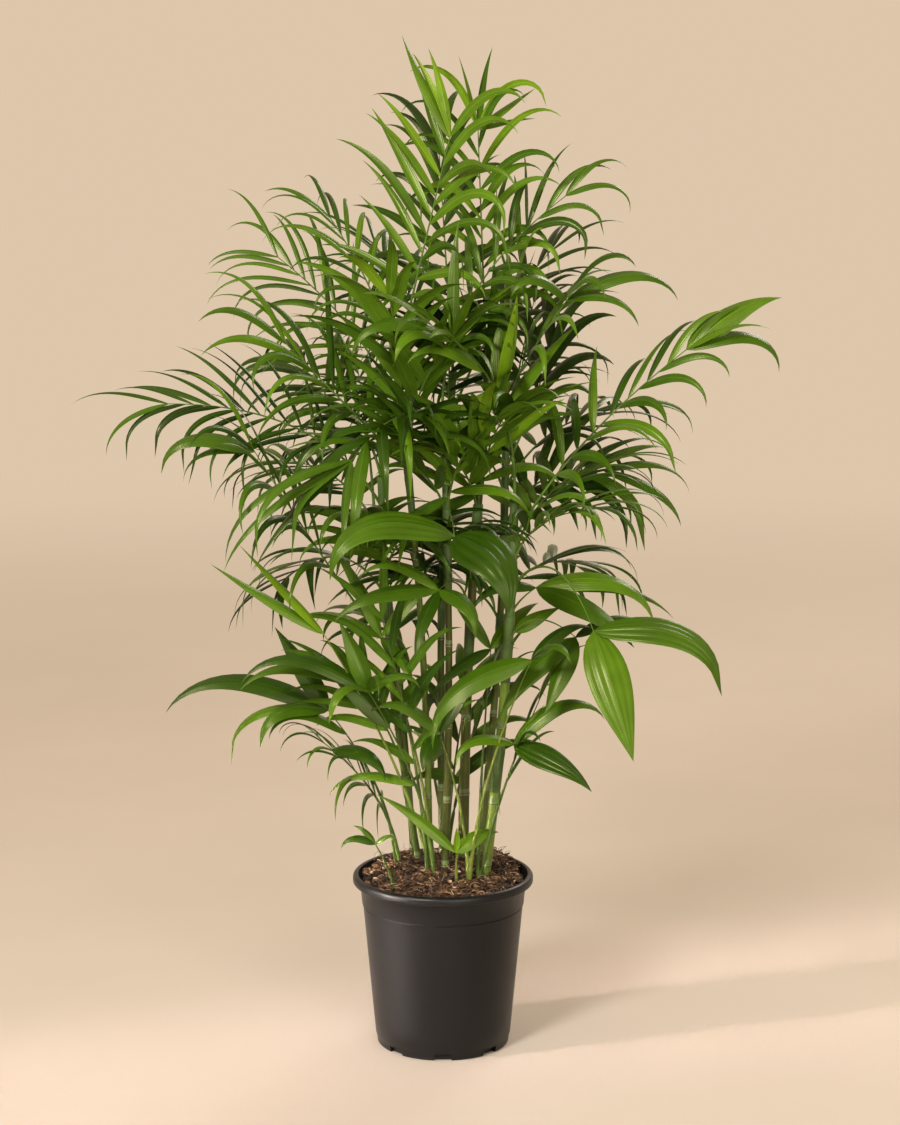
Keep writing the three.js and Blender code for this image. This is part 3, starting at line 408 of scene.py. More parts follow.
def turned(vector, axis, degrees):
    """The vector turned about an axis."""
    c, s = cos_sin(degrees)
    return vector * c + np.cross(axis, vector) * s + axis * np.dot(axis, vector) * (1 - c)


def circle(radius, sides):
    """The x and y of points round a circle."""
    turns = np.linspace(0, math.tau, sides, endpoint=False)
    return [(radius * math.cos(a), radius * math.sin(a)) for a in turns]


def cane_point(name, height):
    foot_x, foot_y, top_x, top_y, top_z, _, _, bow, *_ = CANES[name]
    t = (height - CANE_FOOT_LEVEL) / (top_z - CANE_FOOT_LEVEL)
    x = foot_x + (top_x - foot_x) * t + bow * math.sin(math.pi * max(0.0, t))
    return np.array([x, foot_y + (top_y - foot_y) * t, height])


def cane_radius(name, height):
    _, _, _, _, top_z, foot_radius, top_radius, *_ = CANES[name]
    return foot_radius + (top_radius - foot_radius) * (height - CANE_FOOT) / (top_z - CANE_FOOT)


class Rib:
    """The bow of one frond, from its foot to its tip, with a frame at each place along it."""

    def __init__(self, start, foot_radius, plan, heading, reach, climb, bow, roll):
        self.start = start
        self.foot_radius = foot_radius
        self.plan = plan
        self.roll = roll
        onward = compass(heading)
        chord = onward * reach + UP * climb
        along = unit(chord)
        raised = UP * np.dot(along, onward) - onward * along[2]
        self.bend = start + chord * RIB_BEND_AT + raised * 2 * bow
        self.end = start + chord
        self.level = np.cross(onward, UP)

    def at(self, s):
        return self.start * (1 - s) ** 2 + self.bend * 2 * s * (1 - s) + self.end * s**2

    def frame(self, s):
        """The directions along the rib, across it and out of its upper face."""
        t = unit((self.bend - self.start) * (1 - s) + (self.end - self.bend) * s)
        up = np.cross(self.level, t)
        return t, between(self.level, up, self.roll), between(up, self.level, -self.roll)

    def radius(self, s):
        return self.foot_radius + (RIB_TIP_RADIUS - self.foot_radius) * s**RIB_TAPER


def ribs_of(name):
    """The rib of a frond, and of each frond that grows beside it."""
    foot, heading, reach, climb, bow, roll, kind, changes = FRONDS[name]
    plan = {**KINDS[kind], **changes}
    if isinstance(foot, list):
        radius = YOUNG_FOOT_RADIUS
        start = lower = np.array([*foot, YOUNG_FOOT], float)
    else:
        radius = RIB_FOOT_RADIUS
        start = cane_point(group_of(name), foot)
        lower = cane_point(group_of(name), foot - BESIDE_DROP)
    ribs = [Rib(start, radius, plan, heading, reach, climb, bow, roll)]
    for heading, reach, climb, bow, roll, *own in plan.get("beside", []):
        changed = {**plan, "blades": [], **(own[0] if own else {})}
        ribs.append(Rib(lower, radius, changed, heading, reach, climb, bow, roll))
    return ribs


def single_blades(rib):
    """The leaflets that the table gives one by one."""
    made = []
    for heading, pitch, length, width, droop, roll, *place in rib.plan.get("blades", []):
        onward = compass(heading)
        out = between(onward, UP, pitch)
        flat = turned(np.cross(onward, UP), out, roll)
        made.append({"base": rib.at(place[0] if place else TIP_PLACE), "out": out, "flat": flat,
                     "length": length, "width": width, "droop": droop, "twist": 0})
    return made


def paired_leaflets(rib, index):
    """The leaflets down both sides of a rib. They lie closer to it towards its tip."""
    plan = rib.plan
    pairs = plan["pairs"]
    made = []
    for i in range(pairs):
        for hand in (1, -1):
            number = len(made) + 1
            q = 1 if i == pairs - 1 else (i + (0 if hand > 0 else STAGGER)) / (pairs - 1 + STAGGER)
            s = min(LAST_PLACE, plan["first"] + (1 - plan["first"]) * q)
            t, side, face = rib.frame(s)
            vary = {name: spread(index, number, k + 1, size) for k, (name, size) in enumerate(VARY.items())}
            angle = plan["splay"][0] + (plan["splay"][1] - plan["splay"][0]) * q + vary["angle"]
            out = between(t, between(side * hand, face, plan["lift"] + vary["lift"]), angle)
            swell = SHORTEST + (1 - SHORTEST) * math.sin(math.pi * (0.12 + 0.76 * q))
            made.append({"base": rib.at(s), "out": out, "flat": unit(np.cross(out, face)),
                         "length": plan["blade"] * swell * (1 + vary["length"]),
                         "width": plan["width"] * SLENDER * (1 + vary["width"]),
                         "droop": plan["droop"] * (1 + hand * plan.get("uneven", 0)) * (1 + vary["droop"]),
                         "twist": vary["twist"]})
    return made


def linked(name, data):
    """A new object in the scene."""
    made = bpy.data.objects.new(name, data)
    bpy.context.scene.collection.objects.link(made)
    return made


class Mesh:
    """Gathers points and faces of many parts, then makes one object of them."""

    def __init__(self):
        self.points = []
        self.faces = []
        self.finishes = []
        self.places = []
        self.count = 0

    def add(self, points, faces, finish=0, places=None):
        self.points.append(np.asarray(points, float))
        self.faces += [[v + self.count for v in face] for face in faces]
        self.finishes += finish if isinstance(finish, list) else [finish] * len(faces)
        if places is not None:
            self.places.append(np.asarray(places, float))
        self.count += len(points)

    def object(self, name, materials, sharp=None):
        mesh = bpy.data.meshes.new(name)
        mesh.from_pydata(np.concatenate(self.points) * MM, [], self.faces)
        for material in materials:
            mesh.materials.append(material)
        mesh.polygons.foreach_set("material_index", self.finishes)
        mesh.polygons.foreach_set("use_smooth", [True] * len(mesh.polygons))
        if self.places:
            corners = np.empty(len(mesh.loops), int)
            mesh.loops.foreach_get("vertex_index", corners)
            layer = mesh.uv_layers.new(name="Leaf")
            layer.uv.foreach_set("vector", np.concatenate(self.places)[corners].ravel())
        mesh.validate()
        if sharp:
            mesh.set_sharp_from_angle(angle=math.radians(sharp))
        return linked(name, mesh)


def blade_faces(rows, columns):
    """Faces of a thin closed blade: its top, its underside and its root. The edges and the tip are shared."""
    def top(i, j):
        return rows * (columns + 1) if i == rows else i * (columns + 1) + j

    def under(i, j):
        if i == rows or j in (0, columns):
            return top(i, j)
        return rows * (columns + 1) + 1 + i * (columns - 1) + j - 1

    upper, lower = [], []
    for i in range(rows):
        for j in range(columns):
            for grid, faces, step in ((top, upper, 1), (under, lower, -1)):
                face = [grid(i, j), grid(i, j + 1), grid(i + 1, j + 1), grid(i + 1, j)]
                if i == rows - 1:
                    face.pop()
                faces.append(face[::step])
    root = [top(0, j) for j in range(columns + 1)] + [under(0, j) for j in range(columns - 1, 0, -1)]
    return upper + lower + [root[::-1]], len(upper)


BLADE_FACES = {form["columns"]: blade_faces(LEAF_ROWS, form["columns"]) for form in (SECTION, BROAD_SECTION)}


def drooped(leaf, e):
    """Which way a leaflet runs at a share of its length, and its flat, as it hangs over."""
    level = unit(np.cross(leaf["out"], UP))
    pitch = math.degrees(math.asin(leaf["out"][2]))
    weight = UPRIGHT_DROOP + (1 - UPRIGHT_DROOP) * math.cos(math.radians(pitch))
    turn = min(DROOP_TURN * leaf["droop"] * weight * e**DROOP_POWER, pitch + STEEPEST)
    flat = turned(leaf["flat"], level, -turn)
    along = turned(leaf["out"], level, -turn)
    lying = level if np.dot(flat, level) > 0 else -level
    flat = flat + (lying - flat) * RELAX * e
    return along, unit(flat - along * np.dot(flat, along))


def half_width(e):
    """Half the width of a leaflet at a share of its length, for a width of one."""
    return 0.5 * math.sin(math.pi * e**WIDTH_POWER)


def add_leaf(mesh, leaf, tone, key):
    """One leaflet, keeled along its midrib and swept a little to one side."""
    form = BROAD_SECTION if leaf["width"] > BROAD_LEAF else SECTION
    across = np.linspace(-1, 1, form["columns"] + 1)
    keel = form["keel"] * (1 - np.abs(across))
    pleat = form["pleat"] * np.cos(across * math.pi * form["pleats"])
    sweep = spread(key, 3, 7, SWEEP)
    veined = leaf["width"] / 2 / VEINED_WIDTH
    place = leaf["base"].copy()
    tops, unders, places, under_places = [], [], [], []
    for i in range(LEAF_ROWS + 1):
        e = i / LEAF_ROWS
        along, flat = drooped(leaf, e)
        turn = sweep * e * e
        along, flat = between(along, flat, turn), between(flat, along, -turn)
        if i:
            place = place + along * leaf["length"] / LEAF_ROWS
        if i == LEAF_ROWS:
            break
        side = turned(flat, along, leaf["twist"] * e)
        face = np.cross(side, along)
        half = max(leaf["width"] * half_width(e), LEAF_ROOT_RADIUS if e < LEAF_ROOT else LEAF_TIP_RADIUS)
        crown = (keel + pleat) * half * 2 + form["wave"] * half * np.sin(7 * e + across + key)
        thick = LEAF_THICKNESS * (1 - 0.5 * e) * (1 - across**2)
        line = place + np.outer(across * half, side) + np.outer(crown, face)
        spots = [[e, 0.5 + a * veined] for a in across]
        tops.append(line)
        unders.append((line - np.outer(thick, face))[1:-1])
        places.append(spots)
        under_places.append(spots[1:-1])
    faces, upper = BLADE_FACES[form["columns"]]
    finish = [tone] * upper + [tone + len(TONES)] * (len(faces) - upper)
    mesh.add(np.concatenate(tops + [[place]] + unders), faces, finish,
             np.concatenate(places + [[[1, 0.5]]] + under_places))


def band(first, second, sides):
    """Faces between two rings, given by their first points."""
    return [[first + j, first + k, second + k, second + j] for j, k in enumerate([*range(1, sides), 0])]


def tube_faces(rings, sides):
    faces = []
    for i in range(rings - 1):
        faces += band(i * sides, (i + 1) * sides, sides)
    faces.append(list(range(sides))[::-1])
    faces.append([(rings - 1) * sides + j for j in range(sides)])
    return faces


def add_tube(mesh, middles, radii, sides, finish):
    middles = np.asarray(middles, float)
    tangents = np.gradient(middles, axis=0)
    points = []
    for middle, tangent, radius in zip(middles, tangents, radii):
        along = unit(tangent)
        side = unit(np.cross(along, UP if abs(along[2]) < 0.98 else np.array([1.0, 0, 0])))
        over = np.cross(along, side)
        points += [middle + x * side + y * over for x, y in circle(radius, sides)]
    mesh.add(points, tube_faces(len(middles), sides), finish)


def nodes_of(material):
    tree = material.node_tree
    return tree, next(n for n in tree.nodes if n.type == "BSDF_PRINCIPLED")


def node(tree, kind, inputs=(), **settings):
    """A new node, with each input named linked or set."""
    made = tree.nodes.new(kind)
    for name, value in settings.items():
        setattr(made, name, value)
    for key, value in dict(inputs).items():
        if isinstance(value, bpy.types.NodeSocket):
            tree.links.new(value, made.inputs[key])
        else:
            made.inputs[key].default_value = value
    return made


def blank(name, roughness, **sockets):
    """A new material, its nodes and its shader."""
    material = bpy.data.materials.new(name)
    material.use_nodes = True
    tree, shader = nodes_of(material)
    shader.inputs["Roughness"].default_value = roughness
    for key, value in sockets.items():
        shader.inputs[key.replace("_", " ")].default_value = value
    return material, tree, shader


def object_place(tree):
    return node(tree, "ShaderNodeTexCoord").outputs["Object"]


def stretched(tree, where, scale):
    return node(tree, "ShaderNodeMapping", {"Vector": where, "Scale": scale}).outputs["Vector"]


def mottle(tree, where, scale, detail):
    """An even noise from 0 to 1."""
    inputs = {"Vector": where, "Scale": scale, "Detail": detail}
    return node(tree, "ShaderNodeTexNoise", inputs).outputs["Fac"]


def reckoned(tree, operation, *values):
    return node(tree, "ShaderNodeMath", dict(enumerate(values)), operation=operation).outputs[0]


def ranged(tree, value, start, end, low=0.0, high=1.0, **settings):
    """Goes from low to high while the value goes from start to end."""
    inputs = {"Value": value, "From Min": start, "From Max": end, "To Min": low, "To Max": high}
    return node(tree, "ShaderNodeMapRange", inputs, **settings).outputs["Result"]


def shaded(colour, times, plus=0.0):
    return (*[min(1, c * times + plus) for c in colour], 1)


def mixed(tree, share, first, second):
    """A share of the way from the first colour to the second."""
    inputs = {"Factor": share, "A": first, "B": second}
    return node(tree, "ShaderNodeMix", inputs, data_type="RGBA").outputs["Result"]


def add_bump(tree, shader, height, strength, distance):
    raised = node(tree, "ShaderNodeBump", {"Height": height, "Strength": strength, "Distance": distance})
    tree.links.new(raised.outputs["Normal"], shader.inputs["Normal"])


def patchy(tree, colour, dark, light, scale):
    """The colour, uneven in patches from dark to light times itself."""
    share = ranged(tree, mottle(tree, object_place(tree), scale, 3.0), 0.3, 0.7)
    return mixed(tree, share, shaded(colour, dark), shaded(colour, light))


def leaf_finish(name, colour, roughness, gloss):
    """A leaf: uneven green, a paler midrib and fine darker veins along it."""
    material, tree, shader = blank(name, roughness, Specular_IOR_Level=gloss, Specular_Tint=WAX_TINT)
    spot = node(tree, "ShaderNodeUVMap", uv_map="Leaf").outputs["UV"]
    across = node(tree, "ShaderNodeSeparateXYZ", {0: spot}).outputs["Y"]
    off = reckoned(tree, "ABSOLUTE", reckoned(tree, "SUBTRACT", across, 0.5))
    midrib = ranged(tree, off, 0.0, 0.035, 0.45, 0.0)
    paler = mixed(tree, midrib, patchy(tree, colour, 0.8, 1.22, 22), shaded(colour, 1.9, 0.03))
    veins = reckoned(tree, "SINE", reckoned(tree, "MULTIPLY", across, math.tau * VEINS))
    veined = mixed(tree, ranged(tree, veins, -1.0, 1.0, 0.0, 0.28), paler, shaded(colour, 0.45))
    tree.links.new(veined, shader.inputs["Base Color"])
    add_bump(tree, shader, veins, 0.25, 0.0002)
    return material


def plain_finish(name, colour, roughness, dark=0.8, light=1.2, scale=60, bump=0.15, distance=0.0004,
                 gloss=0.5):
    """An even material with small patches and a fine grain."""
    material, tree, shader = blank(name, roughness, Specular_IOR_Level=gloss)
    tree.links.new(patchy(tree, colour, dark, light, scale), shader.inputs["Base Color"])
    add_bump(tree, shader, mottle(tree, object_place(tree), scale * 12, 3.0), bump, distance)
    return material


def cane_finish(name, colour, streaks):
    """Cane skin: long streaks along the cane and patches of another green."""
    material, tree, shader = blank(name, 0.42, Specular_IOR_Level=0.3, Specular_Tint=WAX_TINT)
    lines = mottle(tree, stretched(tree, object_place(tree), (1.0, 1.0, 0.06)), 420.0, 2.0)
    base = patchy(tree, colour, 0.7, 1.3, 26)
    skin = mixed(tree, ranged(tree, lines, 0.45, 0.75), base, shaded(streaks, 1))
    tree.links.new(skin, shader.inputs["Base Color"])
    add_bump(tree, shader, lines, 0.2, 0.0003)
    return material


def pot_finish():
    """Moulded charcoal plastic: satin, with faint turning lines and a little dust."""
    material, tree, shader = blank("pot_plastic", 0.4, Specular_IOR_Level=0.26)
    tree.links.new(patchy(tree, POT_COLOUR, 0.85, 1.3, 9), shader.inputs["Base Color"])
    where = object_place(tree)
    lines = mottle(tree, stretched(tree, where, (0.02, 0.02, 1.0)), 500.0, 2.0)
    add_bump(tree, shader, reckoned(tree, "ADD", lines, mottle(tree, where, 900.0, 2.0)), 0.12, 0.0003)
    dust = mottle(tree, where, 30.0, 5.0)
    tree.links.new(ranged(tree, dust, 0.0, 1.0, 0.3, 0.44), shader.inputs["Roughness"])
    return material


def wall_radius(z):
    return BASE_RADIUS + (BODY_TOP_RADIUS - BASE_RADIUS) * z / LIP_FOOT


def rounded(centre, radius, start, end, steps):
    """Points of an arc in the pot's section, from one angle to another."""
    turns = np.radians(np.linspace(start, end, steps + 1))
    return [(centre[0] + radius * math.cos(a), centre[1] + radius * math.sin(a)) for a in turns]


def pot_profile():
    """The pot's turned section, from the middle of its underside up the outside and down the inside."""
    foot = BASE_RADIUS - 4
    ring = wall_radius(BASE_RING_TOP)
    step = wall_radius(WALL_STEP_FOOT)
    lip = wall_radius(LIP_FOOT)
    profile = [(0, 0), (foot, 0)]
    profile += rounded((foot, FOOT_ROUND), FOOT_ROUND, -90, 0, 5)
    profile += [(ring - BASE_RING_STEP, BASE_RING_TOP - 0.6), (ring, BASE_RING_TOP + 0.8)]
    profile += [(wall_radius(z), z) for z in [*np.linspace(40, WALL_STEP_FOOT - 6, 5), WALL_STEP_FOOT - 2]]
    profile += [(step - WALL_GROOVE, WALL_STEP_FOOT - z) for z in (1.8, 0.6)]
    profile += [(step + WALL_STEP, WALL_STEP_FOOT + 0.6)]
    profile += [(lip + WALL_STEP, LIP_FOOT - 1.5), (lip + 2.4, LIP_FOOT - 0.2)]
    profile += rounded((RIM_RADIUS - EDGE_ROUND, LIP_FOOT + EDGE_ROUND), EDGE_ROUND, -90, 0, 4)
    profile += rounded((RIM_RADIUS - LIP_ROUND, POT_HEIGHT - LIP_ROUND), LIP_ROUND, 8, 90, 7)
    profile += rounded((MOUTH_RADIUS + MOUTH_ROUND, POT_HEIGHT - 1.7), MOUTH_ROUND, 90, 180, 4)
    profile += [(MOUTH_RADIUS - 1.5, LIP_FOOT + 6), (lip - WALL, LIP_FOOT - 4)]
    profile += [(wall_radius(FLOOR) - WALL, FLOOR), (0, FLOOR)]
    return profile


def make_shell():
    """The pot's section turned round, before its notches are cut."""
    profile = pot_profile()
    points = [[0, 0, profile[0][1]]]
    for radius, z in profile[1:-1]:
        points += [[x, y, z] for x, y in circle(radius, POT_SIDES)]
    points.append([0, 0, profile[-1][1]])
    rings = len(profile) - 2
    last = 1 + (rings - 1) * POT_SIDES
    faces = []
    for i in range(rings - 1):
        faces += band(1 + i * POT_SIDES, 1 + (i + 1) * POT_SIDES, POT_SIDES)
    for j in range(POT_SIDES):
        k = (j + 1) % POT_SIDES
        faces.append([0, 1 + k, 1 + j])
        faces.append([last + j, last + k, len(points) - 1])
    shell = Mesh()
    shell.add(points, faces)
    return shell.object("pot_shell", [pot_finish()])


def notch_cutter():
    """A box through the foot of the wall for each notch."""
    cutters = Mesh()
    for i in range(NOTCHES):
        outward = compass(-90 + 360 * i / NOTCHES)
        side = np.cross(UP, outward)
        corners = [outward * (BASE_RADIUS + x * NOTCH["deep"] / 2) + side * y * NOTCH["wide"] / 2
                   + UP * z * NOTCH["high"] for x, y, z in BOX_CORNERS]
        cutters.add(corners, BOX_FACES)
    return cutters.object("notch_cutter", [])


def make_pot():
    pot = make_shell()
    cutter = notch_cutter()
    cut = pot.modifiers.new("notches", "BOOLEAN")
    cut.operation = "DIFFERENCE"
    cut.object = cutter
    cut.solver = "EXACT"
    bpy.context.view_layer.objects.active = pot
    bpy.ops.object.modifier_apply(modifier=cut.name)
    bpy.data.objects.remove(cutter)
    pot.data.set_sharp_from_angle(angle=math.radians(POT_SHARP))
    return pot


def soil_top(x, y):
    """The height of the soil: a heap, a bank at the back of it and small bumps."""
    reach = math.hypot(x, y - SOIL_HEAP_Y) / BODY_TOP_RADIUS
    heap = SOIL_HEAP * max(0.0, 1 - reach * reach)
    off = math.hypot(x - SOIL_BANK["x"], y - SOIL_BANK["y"]) / SOIL_BANK["spread"]
    heap += SOIL_BANK["high"] * math.exp(-off * off)
    bumps = math.sin(x * 0.11 + 1.3) * math.cos(y * 0.13) + math.sin(x * 0.05 - y * 0.07)
    return SOIL_EDGE + heap + SOIL_BUMP * bumps


def make_soil_bed():
    """The fine soil under the chips: a rough disc, with a skirt down inside the pot."""
    points = [[0, 0, soil_top(0, 0) - SOIL_UNDER]]
    for i in range(1, SOIL_RINGS + 1):
        for x, y in circle(SOIL_RADIUS * i / SOIL_RINGS, SOIL_SIDES):
            points.append([x, y, soil_top(x, y) - SOIL_UNDER + SOIL_ROUGH * (draw.random() - 0.5)])
    skirt = circle(SOIL_RADIUS - SOIL_SKIRT["inset"], SOIL_SIDES)
    points += [[x, y, LIP_FOOT - SOIL_SKIRT["deep"]] for x, y in skirt]
    faces = [[0, 1 + j, 1 + (j + 1) % SOIL_SIDES] for j in range(SOIL_SIDES)]
    for i in range(SOIL_RINGS):
        facing_down = band(1 + i * SOIL_SIDES, 1 + (i + 1) * SOIL_SIDES, SOIL_SIDES)
        faces += [[a, d, c, b] for a, b, c, d in facing_down]
    faces.append([1 + SOIL_RINGS * SOIL_SIDES + j for j in range(SOIL_SIDES)][::-1])
    bed = Mesh()
    bed.add(points, faces)
    finish = plain_finish("soil_fine", SOIL_COLOUR, 0.95, dark=0.5, light=1.8, scale=180, bump=0.8,
                          distance=0.002)
    return bed.object("soil_bed", [finish])


def soil_spot():
    """A place drawn anywhere on the soil."""
    radius = (SOIL_RADIUS - 3) * math.sqrt(draw.random())
    a = math.tau * draw.random()
    return radius * math.cos(a), radius * math.sin(a)


def chip_corners():
    """A split sliver of bark, lying at an angle of its own somewhere on the soil."""
    x, y = soil_spot()
    long = draw.uniform(*CHIP["long"]) * (LONGER if draw.random() < LONG_CHIPS else 1)
    wide = long * draw.uniform(*CHIP["wide"])
    thick = draw.uniform(*CHIP["thick"])
    heading = compass(draw.uniform(0, 360))
    forth = between(heading, UP, draw.normal(0, CHIP["lean"]))
    side = turned(np.cross(UP, heading), forth, draw.normal(0, CHIP["roll"]))
    over = np.cross(forth, side)
    middle = np.array([x, y, soil_top(x, y) + draw.uniform(*CHIP["over"])])
    corners = []
    for a, b, c in BOX_CORNERS:
        jog = draw.uniform(*CHIP["corner"], 3)
        corners.append(middle + forth * a * long / 2 * jog[0] + side * b * wide / 2 * jog[1]
                       + over * c * thick / 2 * jog[2])
    return corners


def make_chips():
    """Bark chips: small split slivers of several browns, lying at all angles."""
    finishes = [plain_finish(f"chip_{i + 1}", c, 0.85, dark=0.7, light=1.35, scale=240, bump=0.5,
                             distance=0.0008) for i, c in enumerate(CHIP_COLOURS)]
    chips = Mesh()
    for _ in range(CHIPS):
        corners = chip_corners()
        chips.add(corners, BOX_FACES, int(draw.choice(len(finishes), p=CHIP_ODDS)))
    return chips.object("bark_chips", finishes, sharp=CHIP_SHARP)


def fibre_path(strand, number):
    """The middle line of a curled fibre, as far as it stays inside the pot."""
    x, y = soil_spot()
    heading = draw.uniform(0, 360)
    curl = draw.normal(0, FIBRE["curl"])
    rise = draw.uniform(*FIBRE["rise"])
    length = draw.uniform(*FIBRE["long"])
    if strand:
        x, y = STRAND_SPOTS[number % len(STRAND_SPOTS)] + draw.normal(0, STRAND["scatter"], 2)
        rise = draw.uniform(*STRAND["rise"])
        length = draw.uniform(*STRAND["long"])
    place = np.array([x, y, soil_top(x, y) + draw.uniform(*FIBRE["over"])])
    middles = [place]
    for i in range(FIBRE_STEPS):
        pitch = rise * (1 - 2 * i / (FIBRE_STEPS - 1))
        place = place + between(compass(heading + curl * i), UP, pitch) * length / FIBRE_STEPS
        if math.hypot(place[0], place[1]) > SOIL_RADIUS + 1:
            break
        middles.append(place)
    return middles


def make_fibres():
    """Coir fibres: thin curled strands through the chips."""
    finishes = [plain_finish(f"fibre_{i + 1}", c, 0.8, dark=0.75, light=1.3, scale=200)
                for i, c in enumerate(FIBRE_COLOURS)]
    fibres = Mesh()
    for number in range(FIBRES + STRANDS):
        strand = number >= FIBRES
        middles = fibre_path(strand, number)
        if len(middles) < 4:
            continue
        thick = STRAND["thick"] if strand else draw.uniform(*FIBRE["thick"])
        radii = [thick * (1 - 0.5 * i / len(middles)) for i in range(len(middles))]
        add_tube(fibres, middles, radii, FIBRE_SIDES, int(draw.choice(len(finishes), p=FIBRE_ODDS)))
    return fibres.object("coir_fibres", finishes)


def cane_joints(name):
    """Heights of a cane's rings, closer together near its foot."""
    top = CANES[name][4]
    low, high = JOINT_SPACING
    height = CANE_FOOT_LEVEL + FIRST_JOINT[0] + FIRST_JOINT[1] * noise(len(name) + 3)
    joints = []
    while height < top - LAST_JOINT:
        joints.append(height)
        share = (height - CANE_FOOT_LEVEL) / (top - CANE_FOOT_LEVEL)
        height += low + (high - low) * min(1, SPACING_GROWTH * share)
        height += JOINT_VARY * (noise(height) - 0.5)
    return joints


def cane_ring(name, height, stand):
    """Points round a cane, standing off its skin."""
    h = min(height, CANES[name][4])
    return [cane_point(name, h) + (x, y, 0) for x, y in circle(cane_radius(name, h) + stand, CANE_SIDES)]


def make_cane(name):
    """A ringed cane: each ring is a low swelling over a pale scar, with a band of painted shade under the
    swelling.
    """
    top = CANES[name][4]
    stations = {CANE_FOOT: (0, SKIN), top: (0, SKIN)}
    for height in cane_joints(name):
        for step, station in RING.items():
            stations[height + step] = station
    points = []
    finish = []
    for h in sorted(h for h in stations if CANE_FOOT <= h <= top):
        points += cane_ring(name, h, stations[h][0])
        finish += [stations[h][1]] * CANE_SIDES
    finish[-CANE_SIDES:] = [SKIN, SKIN]
    skin = Mesh()
    skin.add(points, tube_faces(len(points) // CANE_SIDES, CANE_SIDES), finish)
    bark = cane_finish("cane_skin_" + name, *CANES[name][8:])
    return skin.object("cane_" + name + "_skin", [bark] + RING_FINISHES)


def add_sheath(mesh, name, height, seed):
    """The foot of a frond wraps its cane for a way below it."""
    long = SHEATH_LENGTH[0] + SHEATH_LENGTH[1] * noise(seed)
    rows = [(-long, -0.6), (-long + 1, 0.5), (-long * 0.6, 0.9), (-long * 0.25, 1.3), (-6, 1.9), (2, 1.6),
            (4, -0.6)]
    points = []
    for step, stand in rows:
        points += cane_ring(name, height + step, stand)
    mesh.add(points, tube_faces(len(rows), CANE_SIDES), SHEATH)


def group_of(frond):
    return frond.rsplit("_", 1)[0]


def tone_of(frond, number):
    """The tone of one leaflet, by its place among the finishes."""
    step = TONES.index(FROND_TONES.get(frond, BACK_PAINTED_SHADE_TONE if frond.startswith("back") else FRONT_TONE))
    drawn = noise(number * 3.7 + len(frond) * 11 + step)
    if drawn < TONE_SHIFT:
        step -= 1
    elif drawn > 1 - TONE_SHIFT:
        step += 1
    return min(max(step, 0), len(TONES) - 1)


def add_frond(leaves, stalks, name, rib, index):
    """One rib with its leaflets, and on a cane its sheath."""
    for number, leaf in enumerate(single_blades(rib) + paired_leaflets(rib, index)):
        add_leaf(leaves, leaf, tone_of(name, number + index), index * KEYS_A_RIB + number)
    cane = group_of(name)
    on_cane = cane in CANES
    finish = RIB if on_cane else PALE_STALK if name in PALE_SHOOTS else STALK
    places = np.linspace(0, 1, RIB_STATIONS + 1)
    add_tube(stalks, [rib.at(s) for s in places], [rib.radius(s) for s in places], RIB_SIDES, finish)
    if on_cane:
        add_sheath(stalks, cane, rib.start[2], index)


def make_fronds(group, index_of):
    """The leaflets of a group of fronds are one piece, and their ribs another."""
    leaves = Mesh()
    stalks = Mesh()
    names = [n for n in FRONDS if group_of(n) == group]
    for name in names:
        for turn, rib in enumerate(ribs_of(name)):
            add_frond(leaves, stalks, name, rib, index_of[name] + turn * len(FRONDS))
    cad_nodes = ["frond_" + n for n in names]
    foliage = leaves.object("leaflets_" + group, LEAF_FINISHES, LEAF_SHARP)
    ribs = stalks.object("ribs_" + group, RIB_FINISHES)
    for piece in (foliage, ribs):
        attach(piece, "root")
        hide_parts(*cad_nodes)


def make_camera():
    lens = bpy.data.cameras.new("camera")
    lens.sensor_fit = "VERTICAL"
    lens.sensor_height = SENSOR_HEIGHT
    lens.lens = LENS
    camera = linked("camera", lens)
    camera.location = CAMERA_PLACE
    camera.rotation_euler = (math.radians(90 - CAMERA_PITCH), 0, 0)
    bpy.context.scene.camera = camera


def floor_finish():
    """A pale floor that passes into the colour of the air far from the plant, so that no horizon shows."""
    material = plain_finish("floor_plain", FLOOR_COLOUR, 0.7, dark=0.97, light=1.03, scale=2, bump=0.02)
    tree, shader = nodes_of(material)
    distance = node(tree, "ShaderNodeVectorMath", {0: object_place(tree)}, operation="LENGTH")
    far = ranged(tree, distance.outputs["Value"], *FADE, interpolation_type="SMOOTHSTEP")
    air = node(tree, "ShaderNodeEmission", {"Color": (*AIR_COLOUR, 1), "Strength": AIR_STRENGTH})
    faded = node(tree, "ShaderNodeMixShader", {0: far, 1: shader.outputs[0], 2: air.outputs[0]})
    output = next(n for n in tree.nodes if n.type == "OUTPUT_MATERIAL")
    tree.links.new(faded.outputs[0], output.inputs["Surface"])
    return material


def make_floor():
    corners = [[x * FLOOR_REACH, y * FLOOR_REACH, 0] for x, y in ((-1, -1), (1, -1), (1, 1), (-1, 1))]
    floor = Mesh()
    floor.add(corners, [[0, 1, 2, 3]])
    made = floor.object("floor", [floor_finish()])
    made.location.z = -FLOOR_DROP * MM


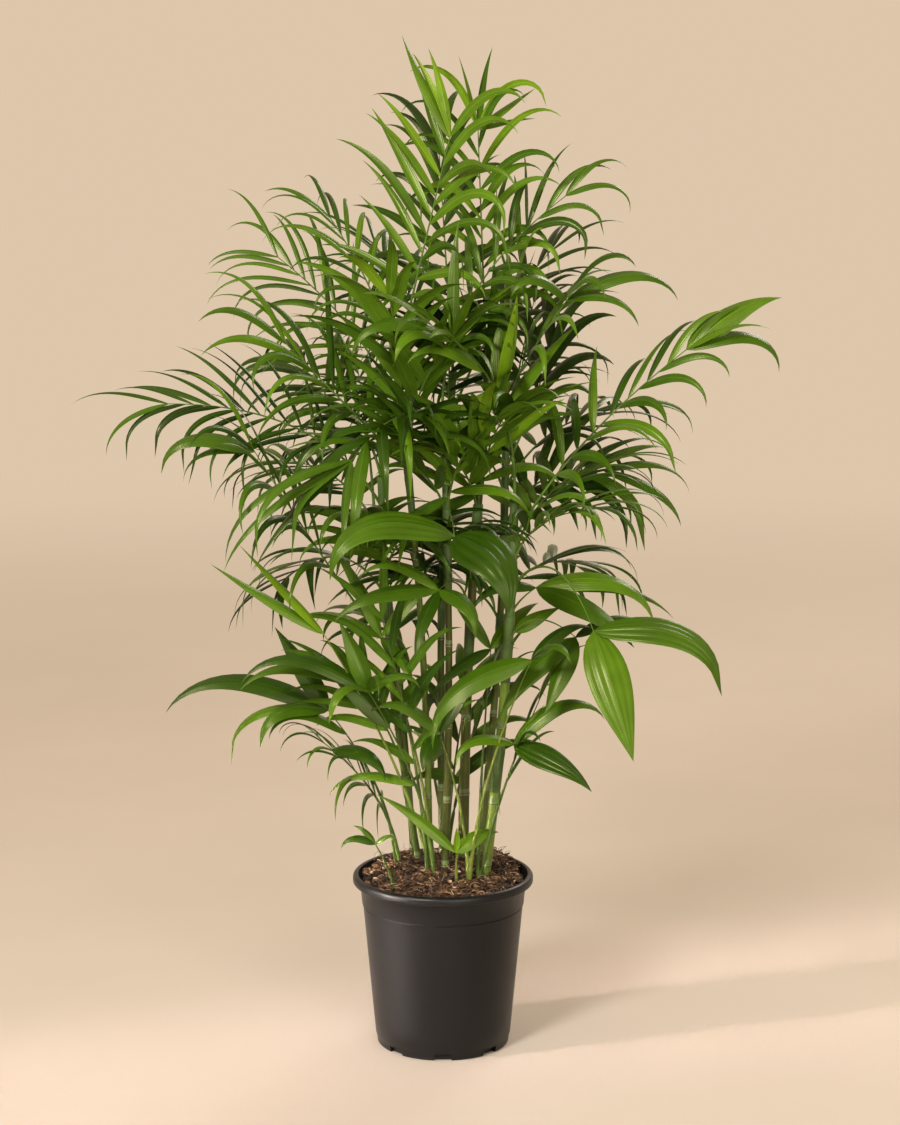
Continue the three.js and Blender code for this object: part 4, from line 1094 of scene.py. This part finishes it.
def make_light(name, place, aim, size, power, colour, beam):
    data = bpy.data.lights.new(name, "AREA")
    data.shape = "DISK"
    data.size = size
    data.energy = power
    data.color = colour
    data.spread = math.radians(beam)
    made = linked(name, data)
    made.location = place
    made.rotation_euler = (made.location - Vector(aim)).to_track_quat("Z", "Y").to_euler()


def make_world():
    world = bpy.data.worlds.new("world")
    bpy.context.scene.world = world
    world.use_nodes = True
    background = world.node_tree.nodes["Background"]
    background.inputs["Color"].default_value = (*AIR_COLOUR, 1)
    background.inputs["Strength"].default_value = AIR_STRENGTH


make_camera()
make_floor()
make_world()
for light_name, light in LIGHTS.items():
    make_light(light_name, *light)
bpy.context.scene.view_settings.view_transform = "Standard"

# Ring finishes: painted shade under a ring's swelling, the pale scar, and the bloom above it
RING_FINISHES = [
    plain_finish("cane_painted_shade", (0.03, 0.045, 0.014), 0.5),
    plain_finish("cane_scar", (0.2, 0.165, 0.075), 0.6),
    plain_finish("cane_bloom", (0.09, 0.13, 0.04), 0.45),
]
RIB_FINISHES = [
    plain_finish("rib_green", (0.066, 0.122, 0.012), 0.5, dark=0.7, light=1.35, scale=30, gloss=0.22),
    plain_finish("sheath_green", (0.062, 0.108, 0.02), 0.5, dark=0.6, light=1.4, scale=30, gloss=0.3),
    plain_finish("stalk_yellow", (0.11, 0.145, 0.02), 0.5, dark=0.6, light=1.4, scale=30, gloss=0.25),
    plain_finish("stalk_green", (0.046, 0.078, 0.01), 0.5, dark=0.5, light=1.5, scale=30, gloss=0.2),
]
# The upper sides of the leaves in each tone, then their duller undersides
LEAF_FINISHES = [leaf_finish("leaf_" + t, TONE_COLOURS[t], roughness=0.3, gloss=0.27) for t in TONES]
LEAF_FINISHES += [
    leaf_finish("underleaf_" + t, [c + 0.002 for c in TONE_COLOURS[t]], roughness=0.6, gloss=0.08)
    for t in TONES
]

pot = make_pot()
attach(pot, "root")
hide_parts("pot")

for piece in (make_soil_bed(), make_chips(), make_fibres()):
    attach(piece, "root")
    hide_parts("soil")

for cane_name in CANES:
    cane = make_cane(cane_name)
    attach(cane, "root")
    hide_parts("cane_" + cane_name)

numbers = {name: i + 1 for i, name in enumerate(FRONDS)}
for group_name in dict.fromkeys(group_of(n) for n in FRONDS):
    make_fronds(group_name, numbers)
